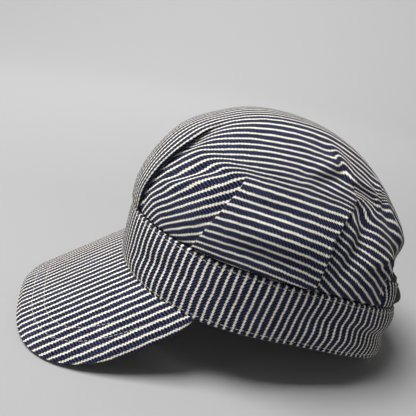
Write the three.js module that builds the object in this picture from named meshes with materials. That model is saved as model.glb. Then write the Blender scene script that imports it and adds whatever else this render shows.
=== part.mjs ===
// Pleated cloth cap with a drooping visor, millimetres, +Z up.
// The visor points towards -Y and the wearer's left is +X.
// The cap rests on its visor and the back of its band.
import * as THREE from 'three';

// Overall sizes.
const HEAD_HALF_WIDTH = 86.0;
const HEAD_HALF_LENGTH = 99.5;
const CROWN_HEIGHT = 92.5;
const BAND_HEIGHT = 37.0;
const BAND_THICKNESS = 2.4;
const CROWN_THICKNESS = 2.0;
const GAP = 0.4;

// Band ring: sizes as shares of the head's half width and half length, exponents of the rounded plan.
const FOOT_RING = { width: 1.0, front: 0.978, rear: 1.024, frontPower: 2.29, rearPower: 2.66 };
const TOP_RING = { width: 0.984, front: 1.013, rear: 0.978, frontPower: 1.95, rearPower: 2.57 };
const SIDE_RISE = 0.23;      // share of the band height that the band's edge climbs at the sides
const REAR_DROP = 0.243;     // share of the band height that it sinks at the back
const VISOR_LIFT = 0.065;    // share of the band height that it climbs over the visor
const FRONT_EXTRA = 0.057;   // share of the band height that the front is taller
const BAND_BELLY = 0.8;      // outward bow of the band between its edges

// Crown profile.
const SIDE_POWER = 2.327;
const TOP_POWER = 1.695;
const APEX_SHIFT = -0.101;   // share of the head's half length
const SWELL = { front: 0.033, rear: 0.044, rearLow: 0.028 };
const SKIRT = 6.0;           // depth of the crown inside the band
const TUCK_HEIGHT = 7.0;     // height over which the crown rolls out over the band

// Folds of the crown: plan angle from the front at each climb angle, degrees.
const CLIMB_STOPS = [0, 13, 26, 34, 42, 52, 62, 90];
const FOLD_LINES = {
  frontPleat: [9.5, 9.3, 11.0, 13.4, 15.6, 16.2, 20.0, 22.0],
  sideFront: [44.0, 47.0, 50.5, 52.0, 52.0, 52.5, 53.0, 54.0],
  sideRear: [89.5, 90.3, 92.0, 96.5, 104.5, 107.0, 108.0, 108.0],
};
const FOLD_END = { frontPleat: 64, sideFront: 41, sideRear: 44 };
const FRONT_PANEL_RISE = 1.7;
const SIDE_PANEL_RISE = 2.1;
const FOLD_HOLLOW = 0.9;     // how far the cloth beside a fold sinks
const FOLD_REACH = 7.0;      // plan degrees over which it comes back

// Hollows (positive) and puffs (negative) of the cloth: plan angle, climb angle, their half widths, depth.
const DENTS = [
  { at: 109, climb: 34, spanAt: 5.5, spanClimb: 13, depth: 3.4 },
  { at: 118, climb: 30, spanAt: 5.0, spanClimb: 12, depth: -1.8 },
  { at: 128, climb: 40, spanAt: 5.0, spanClimb: 12, depth: 2.2 },
  { at: 139, climb: 34, spanAt: 5.5, spanClimb: 13, depth: -1.6 },
  { at: 151, climb: 38, spanAt: 5.5, spanClimb: 12, depth: 2.0 },
  { at: 100, climb: 56, spanAt: 7.0, spanClimb: 6, depth: 1.4 },
  { at: 121, climb: 51, spanAt: 6.0, spanClimb: 5, depth: 1.6 },
  { at: 27, climb: 31, spanAt: 8.0, spanClimb: 5, depth: 1.0 },
  { at: 68, climb: 16, spanAt: 12.0, spanClimb: 10, depth: -1.2 },
];

// Half-moon opening at the back.
const OPENING_START = 121.0;  // plan angle where its edge leaves the band
const OPENING_HEIGHT = 34.0;     // at its middle
const OPENING_SHOULDER = 27.5;   // height that its edge soon reaches beside the tabs
const OPENING_POWER = 4.2;
const OPENING_MIDDLE_SPAN = 45.0;
const LIP_DEPTH = 7.2;           // how far the cloth over the opening is pulled in towards the strap
const LIP_TOP = 46.0;            // height over the band where that begins
const LIP_FALL = 16.0;
const LIP_START = 122.0;
const LIP_SPAN = 16.0;

// Strap across the opening and the cloth tabs that hold its ends.
const STRAP_HEIGHT = 22.0;
const STRAP_THICKNESS = 1.6;
const STRAP_START = 128.5;
const STRAP_BOW = 1.5;           // how far its lower part bows out from the dome
const STRAP_BOW_SHARE = 0.2;     // height share of the bow
const STRAP_FOOT_DEPTH = 0.5;
const STRAP_TOP_DEPTH = 6.1;     // how far its upper edge is drawn in
const STRAP_EASE = 14.0;
const TAB_HEIGHT = 18.5;
const TAB_THICKNESS = 1.2;
const TAB_START = 117.5;
const TAB_END = 134.0;
const TAB_EASE = 5.0;            // plan degrees in which it comes out from under the crown
const TAB_INSET = 1.2;          // how far the free cloth lies inside the dome

// Visor.
const VISOR_REACH = 59.0;        // level length ahead of the band's front
const VISOR_DROOP = 40.0;        // degrees below the band's edge
const VISOR_CORNER = 54.2;       // plan angle of its corners
const VISOR_FLARE = 2.4;         // how far it widens past its corners
const VISOR_SHOULDER = 9.2;      // level length over which it widens
const VISOR_POWER = 2.89;
const VISOR_THICKNESS = 3.0;
const VISOR_ABOVE_EDGE = 2.6;    // where its top meets the band, above the band's edge
const VISOR_GAP = 0.7;

// Mesh densities.
const SEGMENTS = { frontPanel: 3, frontSide: 7, sidePanel: 8, rearSide: 7, opening: 13 };
const CROWN_ROWS = 20;
const BAND_COLUMNS = 96;
const REST_FLAT = 0.9;           // how deep the band's soft edge is pressed flat where it rests

const DEG = Math.PI / 180;
const clamp = (v, low, high) => Math.min(Math.max(v, low), high);
const mix = (a, b, share) => a + (b - a) * share;

function smooth(v) {
  const t = clamp(v, 0, 1);
  return t * t * (3 - 2 * t);
}

/** Reads a table of values at the climb stops. */
function alongClimb(values, climb) {
  const last = CLIMB_STOPS.length - 1;
  for (let i = 0; i < last; i += 1) {
    if (climb <= CLIMB_STOPS[i + 1] || i === last - 1) {
      const share = (climb - CLIMB_STOPS[i]) / (CLIMB_STOPS[i + 1] - CLIMB_STOPS[i]);
      return mix(values[i], values[i + 1], clamp(share, 0, 1));
    }
  }
  return values[last];
}

/** Direction of a plan angle on a ring, with the ring's rounded plan. */
function planDirection(angle, frontPower, rearPower) {
  const side = Math.sin(angle * DEG);
  const ahead = Math.cos(angle * DEG);
  const power = ahead > 0 ? frontPower : rearPower;
  const scale = (Math.abs(side) ** power + Math.abs(ahead) ** power) ** (-1 / power);
  return { side, ahead, x: side * scale, y: -ahead * scale };
}

/** Height of the band's lower edge. */
function edgeHeight(angle) {
  const side = Math.sin(angle * DEG);
  const behind = Math.max(-Math.cos(angle * DEG), 0);
  const fromFront = clamp(Math.abs(angle) / VISOR_CORNER, 0, 1);
  const lift = VISOR_LIFT * (1 - fromFront * fromFront);
  return BAND_HEIGHT * (SIDE_RISE * side * side - REAR_DROP * behind * behind + lift);
}

function bandTopHeight(angle) {
  const ahead = Math.max(Math.cos(angle * DEG), 0);
  return edgeHeight(angle) + BAND_HEIGHT * (1 + FRONT_EXTRA * ahead);
}

/** Point of the band's wall: share 0 at its lower edge, 1 at its top, inset from its outer face. */
function bandPoint(angle, share, inset) {
  const frontPower = mix(FOOT_RING.frontPower, TOP_RING.frontPower, share);
  const rearPower = mix(FOOT_RING.rearPower, TOP_RING.rearPower, share);
  const plan = planDirection(angle, frontPower, rearPower);
  const end = plan.ahead > 0 ? 'front' : 'rear';
  const reach = mix(FOOT_RING[end], TOP_RING[end], share);
  const width = HEAD_HALF_WIDTH * mix(FOOT_RING.width, TOP_RING.width, share) - inset;
  const length = HEAD_HALF_LENGTH * reach - inset;
  const z = mix(edgeHeight(angle), bandTopHeight(angle), share);
  return new THREE.Vector3(width * plan.x, length * plan.y, z);
}

/** Point of the crown's outer face: climb 0 at the band and 90 at the top, inset from its plain dome. */
function domePoint(angle, climb, inset) {
  const low = Math.cos(climb * DEG) ** (2 / SIDE_POWER);
  const high = Math.sin(climb * DEG) ** (2 / TOP_POWER);
  const plan = planDirection(angle, TOP_RING.frontPower, TOP_RING.rearPower);
  const plain = { x: plan.side, y: -plan.ahead };
  const ahead = Math.max(plan.ahead, 0);
  const behind = Math.max(-plan.ahead, 0);
  const hump = Math.sin(clamp(2 * climb, 0, 180) * DEG);
  const lowHump = Math.sin(clamp(4 * climb, 0, 180) * DEG);
  const rearSwell = SWELL.rear * hump + SWELL.rearLow * lowHump;
  const swell = 1 + SWELL.front * ahead ** 2 * hump + rearSwell * behind ** 2;
  const reach = plan.ahead > 0 ? TOP_RING.front : TOP_RING.rear;
  const width = HEAD_HALF_WIDTH * TOP_RING.width - inset;
  const length = HEAD_HALF_LENGTH * reach - inset;
  const base = bandTopHeight(angle);
  const apex = BAND_HEIGHT + CROWN_HEIGHT - inset;
  const x = width * mix(plan.x, plain.x, high) * low * swell;
  const y = length * mix(plan.y, plain.y, high) * low * swell + HEAD_HALF_LENGTH * APEX_SHIFT * high ** 2;
  return new THREE.Vector3(x, y, mix(base, apex, high));
}

/** Climb angle at a height above the band's top edge. */
function climbAt(angle, height) {
  const share = clamp(height / (BAND_HEIGHT + CROWN_HEIGHT - bandTopHeight(angle)), 0, 1);
  return Math.asin(share ** (TOP_POWER / 2)) / DEG;
}

function heightAt(angle, climb) {
  const share = Math.sin(climb * DEG) ** (2 / TOP_POWER);
  return share * (BAND_HEIGHT + CROWN_HEIGHT - bandTopHeight(angle));
}

/** Sinking of the cloth into its hollows. */
function dentDepth(angle, climb) {
  let depth = 0;
  for (const dent of DENTS) {
    const across = (Math.abs(angle) - dent.at) / dent.spanAt;
    const along = (climb - dent.climb) / dent.spanClimb;
    depth += dent.depth * Math.exp(-(across * across + along * along));
  }
  return depth;
}

/** How far the crown is held in where it rolls over the band. */
function tuckInset(angle, climb) {
  return (BAND_THICKNESS + GAP) * (1 - smooth(heightAt(angle, climb) / TUCK_HEIGHT));
}

/** How far the cloth over the opening is pulled in. */
function lipInset(angle, climb) {
  const around = smooth((Math.abs(angle) - LIP_START) / LIP_SPAN);
  return LIP_DEPTH * around * smooth((LIP_TOP - heightAt(angle, climb)) / LIP_FALL);
}

/** Strength of a fold at a climb angle: full at the band, none past its end. */
function foldStrength(name, climb) {
  return 1 - smooth((climb / FOLD_END[name] - 0.62) / 0.38);
}

/** Columns of one half of the crown, from the front to the back. Each gives its plan angle and its rise. */
function halfColumns() {
  const columns = [];
  const fold = (name) => (climb) => alongClimb(FOLD_LINES[name], climb);
  const fixed = (angle) => () => angle;
  const panels = [
    { part: 'frontPanel', start: null, end: 'frontPleat', rise: FRONT_PANEL_RISE },
    { part: 'frontSide', start: 'frontPleat', end: 'sideFront', rise: 0 },
    { part: 'sidePanel', start: 'sideFront', end: 'sideRear', rise: SIDE_PANEL_RISE },
    { part: 'rearSide', start: 'sideRear', end: null, rise: 0 },
  ];
  const spans = panels.map((panel) => ({
    ...panel,
    from: panel.start === null ? fixed(0) : fold(panel.start),
    to: panel.end === null ? fixed(OPENING_START - 0.8) : fold(panel.end),
    count: SEGMENTS[panel.part],
  }));
  for (const span of spans) {
    for (let i = 0; i <= span.count; i += 1) {
      if (span.start === null && i === 0) {
        continue;
      }
      const share = i / span.count;
      const angle = (climb) => mix(span.from(climb), span.to(climb), share);
      const rise = (climb) => panelRise(span, angle(climb), climb);
      columns.push({ angle, rise, arch: 0, skirt: true });
    }
  }
  for (let i = 0; i <= SEGMENTS.opening; i += 1) {
    const turn = (i / SEGMENTS.opening) * 90;
    const across = Math.cos(turn * DEG) ** (2 / OPENING_POWER);
    const up = Math.sin(turn * DEG) ** (2 / OPENING_POWER);
    const plan = 180 - (180 - OPENING_START) * across;
    const middle = smooth((plan - 180 + OPENING_MIDDLE_SPAN) / OPENING_MIDDLE_SPAN);
    const arch = OPENING_SHOULDER * up + (OPENING_HEIGHT - OPENING_SHOULDER) * middle;
    columns.push({ angle: () => plan, rise: () => 0, arch, skirt: false });
  }
  return columns;
}

/** Rise of a panel's cloth over the plain dome, or its sinking beside a neighbour's fold. */
function panelRise(span, angle, climb) {
  if (span.rise > 0) {
    const names = [span.start, span.end].filter((name) => name !== null);
    const strengths = names.map((name) => foldStrength(name, climb));
    const toEnd = (angle - span.from(climb)) / (span.to(climb) - span.from(climb));
    return span.rise * mix(strengths[0], strengths[strengths.length - 1], toEnd);
  }
  let sink = 0;
  if (span.start !== null) {
    const away = (angle - span.from(climb)) / FOLD_REACH;
    sink += foldStrength(span.start, climb) * Math.exp(-away * away);
  }
  if (span.end !== null) {
    const away = (span.to(climb) - angle) / FOLD_REACH;
    sink += foldStrength(span.end, climb) * Math.exp(-away * away);
  }
  return -FOLD_HOLLOW * sink;
}

/** Soup of triangles welded into one closed body. */
class Body {
  constructor() {
    this.points = [];
    this.index = new Map();
    this.faces = [];
  }

  vertex(p) {
    const key = `${Math.round(p.x * 2000)},${Math.round(p.y * 2000)},${Math.round(p.z * 2000)}`;
    if (!this.index.has(key)) {
      this.index.set(key, this.points.length);
      this.points.push(p.clone());
    }
    return this.index.get(key);
  }

  triangle(a, b, c) {
    const ids = [this.vertex(a), this.vertex(b), this.vertex(c)];
    if (ids[0] !== ids[1] && ids[1] !== ids[2] && ids[2] !== ids[0]) {
      this.faces.push(ids);
    }
  }

  quad(a, b, c, d) {
    this.triangle(a, b, c);
    this.triangle(a, c, d);
  }

  /** Skin between two matching grids of points: outer faces out, inner faces in, rims closed. */
  shell(outer, inner, closed) {
    const columns = outer.length;
    const rows = outer[0].length;
    const steps = closed ? columns : columns - 1;
    for (let i = 0; i < steps; i += 1) {
      const j = (i + 1) % columns;
      for (let k = 0; k < rows - 1; k += 1) {
        this.quad(outer[i][k], outer[j][k], outer[j][k + 1], outer[i][k + 1]);
        this.quad(inner[i][k], inner[i][k + 1], inner[j][k + 1], inner[j][k]);
      }
      this.quad(outer[i][0], inner[i][0], inner[j][0], outer[j][0]);
      this.quad(outer[i][rows - 1], outer[j][rows - 1], inner[j][rows - 1], inner[i][rows - 1]);
    }
    if (!closed) {
      const end = columns - 1;
      for (let k = 0; k < rows - 1; k += 1) {
        this.quad(outer[0][k], outer[0][k + 1], inner[0][k + 1], inner[0][k]);
        this.quad(outer[end][k], inner[end][k], inner[end][k + 1], outer[end][k + 1]);
      }
    }
  }

  geometry() {
    const geometry = new THREE.BufferGeometry();
    const flat = this.points.flatMap((p) => [p.x, p.y, p.z]);
    geometry.setAttribute('position', new THREE.Float32BufferAttribute(flat, 3));
    geometry.setIndex(this.faces.flat());
    geometry.computeVertexNormals();
    return geometry;
  }
}

function crownBody() {
  const half = halfColumns();
  const frontRise = (climb) => FRONT_PANEL_RISE * foldStrength('frontPleat', climb);
  const front = { angle: () => 0, rise: frontRise, arch: 0, skirt: true };
  const columnPoints = (side, isInner) => (column) => {
    const points = [];
    const atBand = side * column.angle(0);
    const wall = isInner ? CROWN_THICKNESS : 0;
    const startHeight = column.skirt ? GAP : GAP + column.arch;
    const firstClimb = climbAt(atBand, startHeight);
    const inset = (climb) => {
      const angle = side * column.angle(climb);
      const raise = isInner ? Math.min(column.rise(climb), 0) : column.rise(climb);
      const tuck = tuckInset(angle, climb);
      const loose = smooth(heightAt(angle, climb) / TUCK_HEIGHT);
      return wall + tuck + lipInset(angle, climb) + dentDepth(angle, climb) * loose - raise * loose;
    };
    const insideBand = BAND_THICKNESS + GAP + wall;
    if (column.skirt) {
      const depth = SKIRT / (bandTopHeight(atBand) - edgeHeight(atBand));
      points.push(bandPoint(atBand, 1 - depth, insideBand));
      points.push(bandPoint(atBand, 1, insideBand));
    } else {
      const start = domePoint(side * column.angle(firstClimb), firstClimb, inset(firstClimb));
      points.push(start);
      points.push(start);
    }
    for (let k = 0; k < CROWN_ROWS; k += 1) {
      const share = (k / CROWN_ROWS) ** 1.1;
      const climb = mix(firstClimb, 90, share);
      points.push(domePoint(side * column.angle(climb), climb, inset(climb)));
    }
    points.push(domePoint(0, 90, inset(90)));
    return points;
  };
  const build = (isInner) => {
    const right = half.map(columnPoints(1, isInner));
    const left = half.slice(0, -1).map(columnPoints(-1, isInner)).reverse();
    return [columnPoints(1, isInner)(front), ...right, ...left];
  };
  const body = new Body();
  const outer = build(false);
  const inner = build(true);
  const columns = outer.length;
  const rows = outer[0].length;
  for (let i = 0; i < columns; i += 1) {
    const j = (i + 1) % columns;
    for (let k = 0; k < rows - 1; k += 1) {
      body.quad(outer[i][k], outer[j][k], outer[j][k + 1], outer[i][k + 1]);
      body.quad(inner[i][k], inner[i][k + 1], inner[j][k + 1], inner[j][k]);
    }
    body.quad(outer[i][0], inner[i][0], inner[j][0], outer[j][0]);
  }
  return body;
}

function bandBody() {
  const outer = [];
  const inner = [];
  for (let i = 0; i < BAND_COLUMNS; i += 1) {
    const angle = (i / BAND_COLUMNS) * 360;
    const turned = angle > 180 ? angle - 360 : angle;
    const place = (wall) => (share) => bandPoint(turned, share, wall - BAND_BELLY * 4 * share * (1 - share));
    outer.push([0, 0.5, 1].map(place(0)));
    inner.push([0, 0.5, 1].map(place(BAND_THICKNESS)));
  }
  const body = new Body();
  body.shell(outer, inner, true);
  return body;
}

/** Curved strip that stands on the band's top edge. */
function stripBody(start, end, count, rows, height, thickness, insetAt) {
  const outer = [];
  const inner = [];
  for (let i = 0; i <= count; i += 1) {
    const angle = mix(start, end, i / count);
    const place = (wall) => (share) => {
      const up = GAP + height * share;
      return domePoint(angle, climbAt(angle, up), insetAt(angle, share) + wall);
    };
    const shares = Array.from({ length: rows + 1 }, (_, k) => k / rows);
    outer.push(shares.map(place(0)));
    inner.push(shares.map(place(thickness)));
  }
  const body = new Body();
  body.shell(outer, inner, false);
  return body;
}

function tabInset(angle, share) {
  const out = smooth((Math.abs(angle) - OPENING_START) / TAB_EASE);
  const under = CROWN_THICKNESS + BAND_THICKNESS + 2 * GAP;
  return mix(under, TAB_INSET, out * smooth(share * 3 + 0.35));
}

function strapInset(angle, share) {
  const tabShare = Math.min((share * STRAP_HEIGHT) / TAB_HEIGHT, 1);
  const behind = tabInset(TAB_END, tabShare) + TAB_THICKNESS + 3 * GAP;
  const away = Math.abs(angle) > 180 ? 360 - Math.abs(angle) : Math.abs(angle);
  const out = smooth((away - TAB_END) / STRAP_EASE);
  const above = smooth((share - STRAP_BOW_SHARE) / (1 - STRAP_BOW_SHARE));
  const below = smooth((STRAP_BOW_SHARE - share) / STRAP_BOW_SHARE);
  const drawn = (STRAP_TOP_DEPTH + STRAP_BOW) * above + (STRAP_FOOT_DEPTH + STRAP_BOW) * below;
  return mix(behind, drawn - STRAP_BOW, out);
}

/** Half width and reach of the visor's outline, from one corner (-1) to the other (1). */
function visorOutline(turn) {
  const corner = bandPoint(VISOR_CORNER, 0, -VISOR_GAP);
  const tip = bandPoint(0, 0, 0).y - VISOR_REACH;
  const shoulder = corner.y - VISOR_SHOULDER;
  const side = Math.sign(turn);
  const rearShare = 0.12;
  const amount = Math.abs(turn);
  if (amount > 1 - rearShare) {
    const share = (amount - (1 - rearShare)) / rearShare;
    const x = corner.x + VISOR_FLARE * Math.cos((share * Math.PI) / 2);
    return { x: side * x, y: mix(shoulder, corner.y, share) };
  }
  const swing = (amount / (1 - rearShare)) * 90;
  const x = (corner.x + VISOR_FLARE) * Math.sin(swing * DEG) ** (2 / VISOR_POWER);
  const y = mix(shoulder, tip, Math.cos(swing * DEG) ** (2 / VISOR_POWER));
  return { x: side * x, y };
}

/** Height of the visor's top over a plan position: straight lines that leave the band and droop. */
function visorHeight(x, y) {
  const across = clamp(Math.abs(x) / HEAD_HALF_WIDTH, 0, 0.985);
  const ahead = (1 - across ** FOOT_RING.frontPower) ** (1 / FOOT_RING.frontPower);
  const angle = Math.atan2(across, ahead) / DEG;
  const edge = -HEAD_HALF_LENGTH * FOOT_RING.front * ahead;
  return edgeHeight(angle) + VISOR_ABOVE_EDGE - (edge - y) * Math.tan(VISOR_DROOP * DEG);
}

function visorBody() {
  const columns = 36;
  const rows = 9;
  const top = [];
  const under = [];
  const fall = VISOR_THICKNESS / Math.cos(VISOR_DROOP * DEG);
  for (let i = 0; i <= columns; i += 1) {
    const turn = -1 + (2 * i) / columns;
    const eased = Math.sign(turn) * (1 - (1 - Math.abs(turn)) ** 1.15);
    const start = bandPoint(VISOR_CORNER * eased, 0, -VISOR_GAP);
    const end = visorOutline(eased);
    const line = [];
    for (let k = 0; k <= rows; k += 1) {
      const x = mix(start.x, end.x, k / rows);
      const y = mix(start.y, end.y, k / rows);
      line.push(new THREE.Vector3(x, y, visorHeight(x, y)));
    }
    top.push(line);
    under.push(line.map((p) => new THREE.Vector3(p.x, p.y, p.z - fall)));
  }
  const body = new Body();
  body.shell(under, top, false);
  return body;
}

/** Turns the bodies until the visor and the band's back are level, then sets the cap on its base. */
function settle(bodies) {
  const heights = (points, turn) => points.map((p) => p.y * Math.sin(turn) + p.z * Math.cos(turn));
  const lowest = (points, turn) => Math.min(...heights(points, turn));
  let low = -30 * DEG;
  let high = 10 * DEG;
  for (let i = 0; i < 50; i += 1) {
    const middle = (low + high) / 2;
    const visorLow = lowest(bodies.visor.points, middle);
    const bandLow = lowest(bodies.band.points, middle) + REST_FLAT;
    if (visorLow > bandLow) {
      low = middle;
    } else {
      high = middle;
    }
  }
  const turn = (low + high) / 2;
  const all = Object.values(bodies).flatMap((body) => body.points);
  for (const p of all) {
    p.applyAxisAngle(new THREE.Vector3(1, 0, 0), turn);
  }
  const floor = Math.min(...bodies.visor.points.map((p) => p.z));
  for (const p of bodies.band.points) {
    p.z = Math.max(p.z, floor);
  }
  const box = new THREE.Box3().setFromPoints(all);
  const shift = new THREE.Vector3(-(box.min.x + box.max.x) / 2, -(box.min.y + box.max.y) / 2, -box.min.z);
  for (const p of all) {
    p.add(shift);
  }
}

const CLOTH = { color: 0x474c66, roughness: 0.92, metalness: 0.0 };
const WEBBING = { color: 0x1b1c1e, roughness: 0.85, metalness: 0.0 };

const bodies = {
  band: bandBody(),
  crown: crownBody(),
  visor: visorBody(),
  left_strap_tab: stripBody(TAB_START, TAB_END, 8, 4, TAB_HEIGHT, TAB_THICKNESS, tabInset),
  right_strap_tab: stripBody(-TAB_END, -TAB_START, 8, 4, TAB_HEIGHT, TAB_THICKNESS, tabInset),
  back_strap: stripBody(STRAP_START, 360 - STRAP_START, 40, 6, STRAP_HEIGHT, STRAP_THICKNESS, strapInset),
};
settle(bodies);

const cap = new THREE.Group();
cap.name = 'railroad_engineer_cap';
for (const [name, body] of Object.entries(bodies)) {
  const finish = name === 'back_strap' ? WEBBING : CLOTH;
  const mesh = new THREE.Mesh(body.geometry(), new THREE.MeshStandardMaterial(finish));
  mesh.name = name;
  cap.add(mesh);
}

export default cap;
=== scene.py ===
"""Railroad engineer cap in striped cotton twill: pleated crown, deep band, drooping visor and a rear strap.

Sizes are millimetres in the cap's own frame, with its band level, its visor towards -Y and the wearer's left
towards +X. RestPlace turns and shifts them to the way the cap rests on its visor and the back of its band,
and gives metres.
"""
import logging
import math
from collections.abc import Callable, Sequence
from dataclasses import dataclass, field
from enum import Enum
from functools import partial

import bmesh
import bpy
import numpy as np
from mathutils import Matrix, Vector

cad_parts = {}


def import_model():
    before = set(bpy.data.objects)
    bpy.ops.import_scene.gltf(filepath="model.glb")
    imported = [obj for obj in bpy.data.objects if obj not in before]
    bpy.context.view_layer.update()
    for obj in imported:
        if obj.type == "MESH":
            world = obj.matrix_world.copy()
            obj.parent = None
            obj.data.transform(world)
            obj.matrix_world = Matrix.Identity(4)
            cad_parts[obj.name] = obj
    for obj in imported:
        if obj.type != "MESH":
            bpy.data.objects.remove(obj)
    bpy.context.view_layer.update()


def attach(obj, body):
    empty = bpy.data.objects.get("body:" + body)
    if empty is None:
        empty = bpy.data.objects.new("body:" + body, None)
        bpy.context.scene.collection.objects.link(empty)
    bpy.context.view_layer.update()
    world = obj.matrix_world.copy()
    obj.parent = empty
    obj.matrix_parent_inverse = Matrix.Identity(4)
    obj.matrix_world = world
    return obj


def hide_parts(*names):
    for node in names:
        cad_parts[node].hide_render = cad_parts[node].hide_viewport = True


MM = 0.001
CAP_BODY = "root"
STRIPE_PITCH = 4.79
LAY_MAP = "cloth_lay"
# Points of a piece nearer than this, in metres, are sewn together.
MERGE_DISTANCE = 2e-6
# Added to lengths that are divided by.
TINY = 1e-9

Array = np.ndarray
Point = tuple[float, float, float]
# A value by climb angle, and a face by plan angle, height share and depth inside it.
Line = Callable[[Array], Array]
Face = Callable[..., Array]

log = logging.getLogger("cap")


def smooth(value: Array) -> Array:
    """Eases from 0 to 1 as the value does.

    Args:
        value: Numbers, clamped to 0 and 1.

    Returns:
        The eased numbers.
    """
    t = np.clip(value, 0.0, 1.0)
    return t * t * (3.0 - 2.0 * t)


def mix(first: Array, second: Array, share: Array) -> Array:
    """Returns the value at a share of the way from the first to the second."""
    return first + (second - first) * share


def bell(value: Array) -> Array:
    """Falls from 1 at a value of 0 to nearly 0 past 2 on either side."""
    return np.exp(-(value**2))


@dataclass(frozen=True)
class Ring:
    """Rounded plan of the head at one level, as shares of the head's half sizes."""

    width: float
    front: float
    rear: float
    front_power: float
    rear_power: float


@dataclass(frozen=True)
class RestPlace:
    """Turn and shift that rest the cap on its visor and the back of its band."""

    turn_deg: float = -9.51568
    shift: Point = (0.0, 28.90372, 24.81116)

    def place(self, points: Array) -> Array:
        """Moves points of the cap's own frame to where the cap rests.

        Args:
            points: Points in millimetres, coordinates last.

        Returns:
            The points in the row frame in metres, never below the floor.
        """
        turn = math.radians(self.turn_deg)
        rested = np.empty_like(points)
        rested[..., 0] = points[..., 0] + self.shift[0]
        rested[..., 1] = points[..., 1] * math.cos(turn) - points[..., 2] * math.sin(turn) + self.shift[1]
        rested[..., 2] = points[..., 1] * math.sin(turn) + points[..., 2] * math.cos(turn) + self.shift[2]
        rested[..., 2] = np.maximum(rested[..., 2], 0.0)
        return rested * MM


@dataclass(frozen=True)
class HeadForm:
    """Plain form that the band and the crown follow.

    Plan angles are degrees from the front, and climb angles run from the band (0) to the top (90).
    """

    half_width: float = 86.0
    half_length: float = 99.5
    crown_height: float = 92.5
    band_height: float = 37.0
    foot: Ring = Ring(1.0, 0.978, 1.024, 2.29, 2.66)
    top: Ring = Ring(0.984, 1.013, 0.978, 1.95, 2.57)
    side_rise: float = 0.23
    rear_drop: float = 0.243
    visor_lift: float = 0.065
    front_extra: float = 0.057
    visor_corner: float = 54.2
    side_power: float = 2.327
    top_power: float = 1.695
    apex_shift: float = -0.101
    swell_front: float = 0.033
    swell_rear: float = 0.044
    swell_rear_low: float = 0.028

    def plan(self, angle: Array, front_power: Array, rear_power: Array) -> tuple[Array, ...]:
        """Direction of a plan angle on a rounded ring.

        Args:
            angle: Plan angles.
            front_power: Roundness of the front half.
            rear_power: Roundness of the rear half.

        Returns:
            Sideways share, forward share, and the ring's x and y for half sizes of 1.
        """
        side = np.sin(np.radians(angle))
        ahead = np.cos(np.radians(angle))
        power = np.where(ahead > 0, front_power, rear_power)
        scale = (np.abs(side) ** power + np.abs(ahead) ** power) ** (-1.0 / power)
        return side, ahead, side * scale, -ahead * scale

    def edge_height(self, angle: Array) -> Array:
        """Height of the band's lower edge.

        Args:
            angle: Plan angles.

        Returns:
            Heights in millimetres.
        """
        side = np.sin(np.radians(angle))
        behind = np.maximum(-np.cos(np.radians(angle)), 0.0)
        from_front = np.clip(np.abs(angle) / self.visor_corner, 0.0, 1.0)
        lift = self.visor_lift * (1.0 - from_front**2)
        return self.band_height * (self.side_rise * side**2 - self.rear_drop * behind**2 + lift)

    def band_top(self, angle: Array) -> Array:
        """Height of the band's upper edge at a plan angle."""
        ahead = np.maximum(np.cos(np.radians(angle)), 0.0)
        return self.edge_height(angle) + self.band_height * (1.0 + self.front_extra * ahead)

    def band_point(self, angle: Array, share: Array, inset: Array) -> Array:
        """Point of the band's wall.

        Args:
            angle: Plan angles.
            share: Height share, 0 at the lower edge and 1 at the upper.
            inset: Depth inside the outer face.

        Returns:
            Points in millimetres, coordinates last.
        """
        angle, share, inset = np.broadcast_arrays(angle, share, inset)
        front_power = mix(self.foot.front_power, self.top.front_power, share)
        rear_power = mix(self.foot.rear_power, self.top.rear_power, share)
        _, ahead, x, y = self.plan(angle, front_power, rear_power)
        front = mix(self.foot.front, self.top.front, share)
        rear = mix(self.foot.rear, self.top.rear, share)
        width = self.half_width * mix(self.foot.width, self.top.width, share) - inset
        length = self.half_length * np.where(ahead > 0, front, rear) - inset
        z = mix(self.edge_height(angle), self.band_top(angle), share)
        return np.stack([width * x, length * y, z], axis=-1)

    def dome_point(self, angle: Array, climb: Array, inset: Array) -> Array:
        """Point of the crown.

        Args:
            angle: Plan angles.
            climb: Climb angles.
            inset: Depth inside the plain dome.

        Returns:
            Points in millimetres, coordinates last.
        """
        angle, climb, inset = np.broadcast_arrays(angle, climb, inset)
        rise = np.radians(np.clip(climb, 0.0, 90.0))
        low = np.cos(rise) ** (2.0 / self.side_power)
        high = np.sin(rise) ** (2.0 / self.top_power)
        side, ahead, x, y = self.plan(angle, self.top.front_power, self.top.rear_power)
        hump = np.sin(2.0 * rise)
        low_hump = np.sin(np.clip(4.0 * rise, 0.0, math.pi))
        front = np.maximum(ahead, 0.0)
        behind = np.maximum(-ahead, 0.0)
        rear_swell = self.swell_rear * hump + self.swell_rear_low * low_hump
        swell = 1.0 + self.swell_front * front**2 * hump + rear_swell * behind**2
        reach = np.where(ahead > 0, self.top.front, self.top.rear)
        width = self.half_width * self.top.width - inset
        length = self.half_length * reach - inset
        px = width * mix(x, side, high) * low * swell
        py = length * mix(y, -ahead, high) * low * swell + self.half_length * self.apex_shift * high**2
        pz = mix(self.band_top(angle), self.band_height + self.crown_height - inset, high)
        return np.stack([px, py, pz], axis=-1)

    def climb_at(self, angle: Array, height: Array) -> Array:
        """Climb angle at a height above the band's upper edge."""
        share = np.clip(height / (self.band_height + self.crown_height - self.band_top(angle)), 0.0, 1.0)
        return np.degrees(np.arcsin(share ** (self.top_power / 2.0)))

    def height_at(self, angle: Array, climb: Array) -> Array:
        """Height above the band's upper edge at a climb angle."""
        share = np.sin(np.radians(climb)) ** (2.0 / self.top_power)
        return share * (self.band_height + self.crown_height - self.band_top(angle))


FORM = HeadForm()
REST = RestPlace()


@dataclass(frozen=True)
class Wall:
    """Thicknesses and clearances that several pieces share."""

    band: float = 2.4
    crown: float = 2.0
    gap: float = 0.4
    foot_gap: float = 0.08


WALL = Wall()


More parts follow.
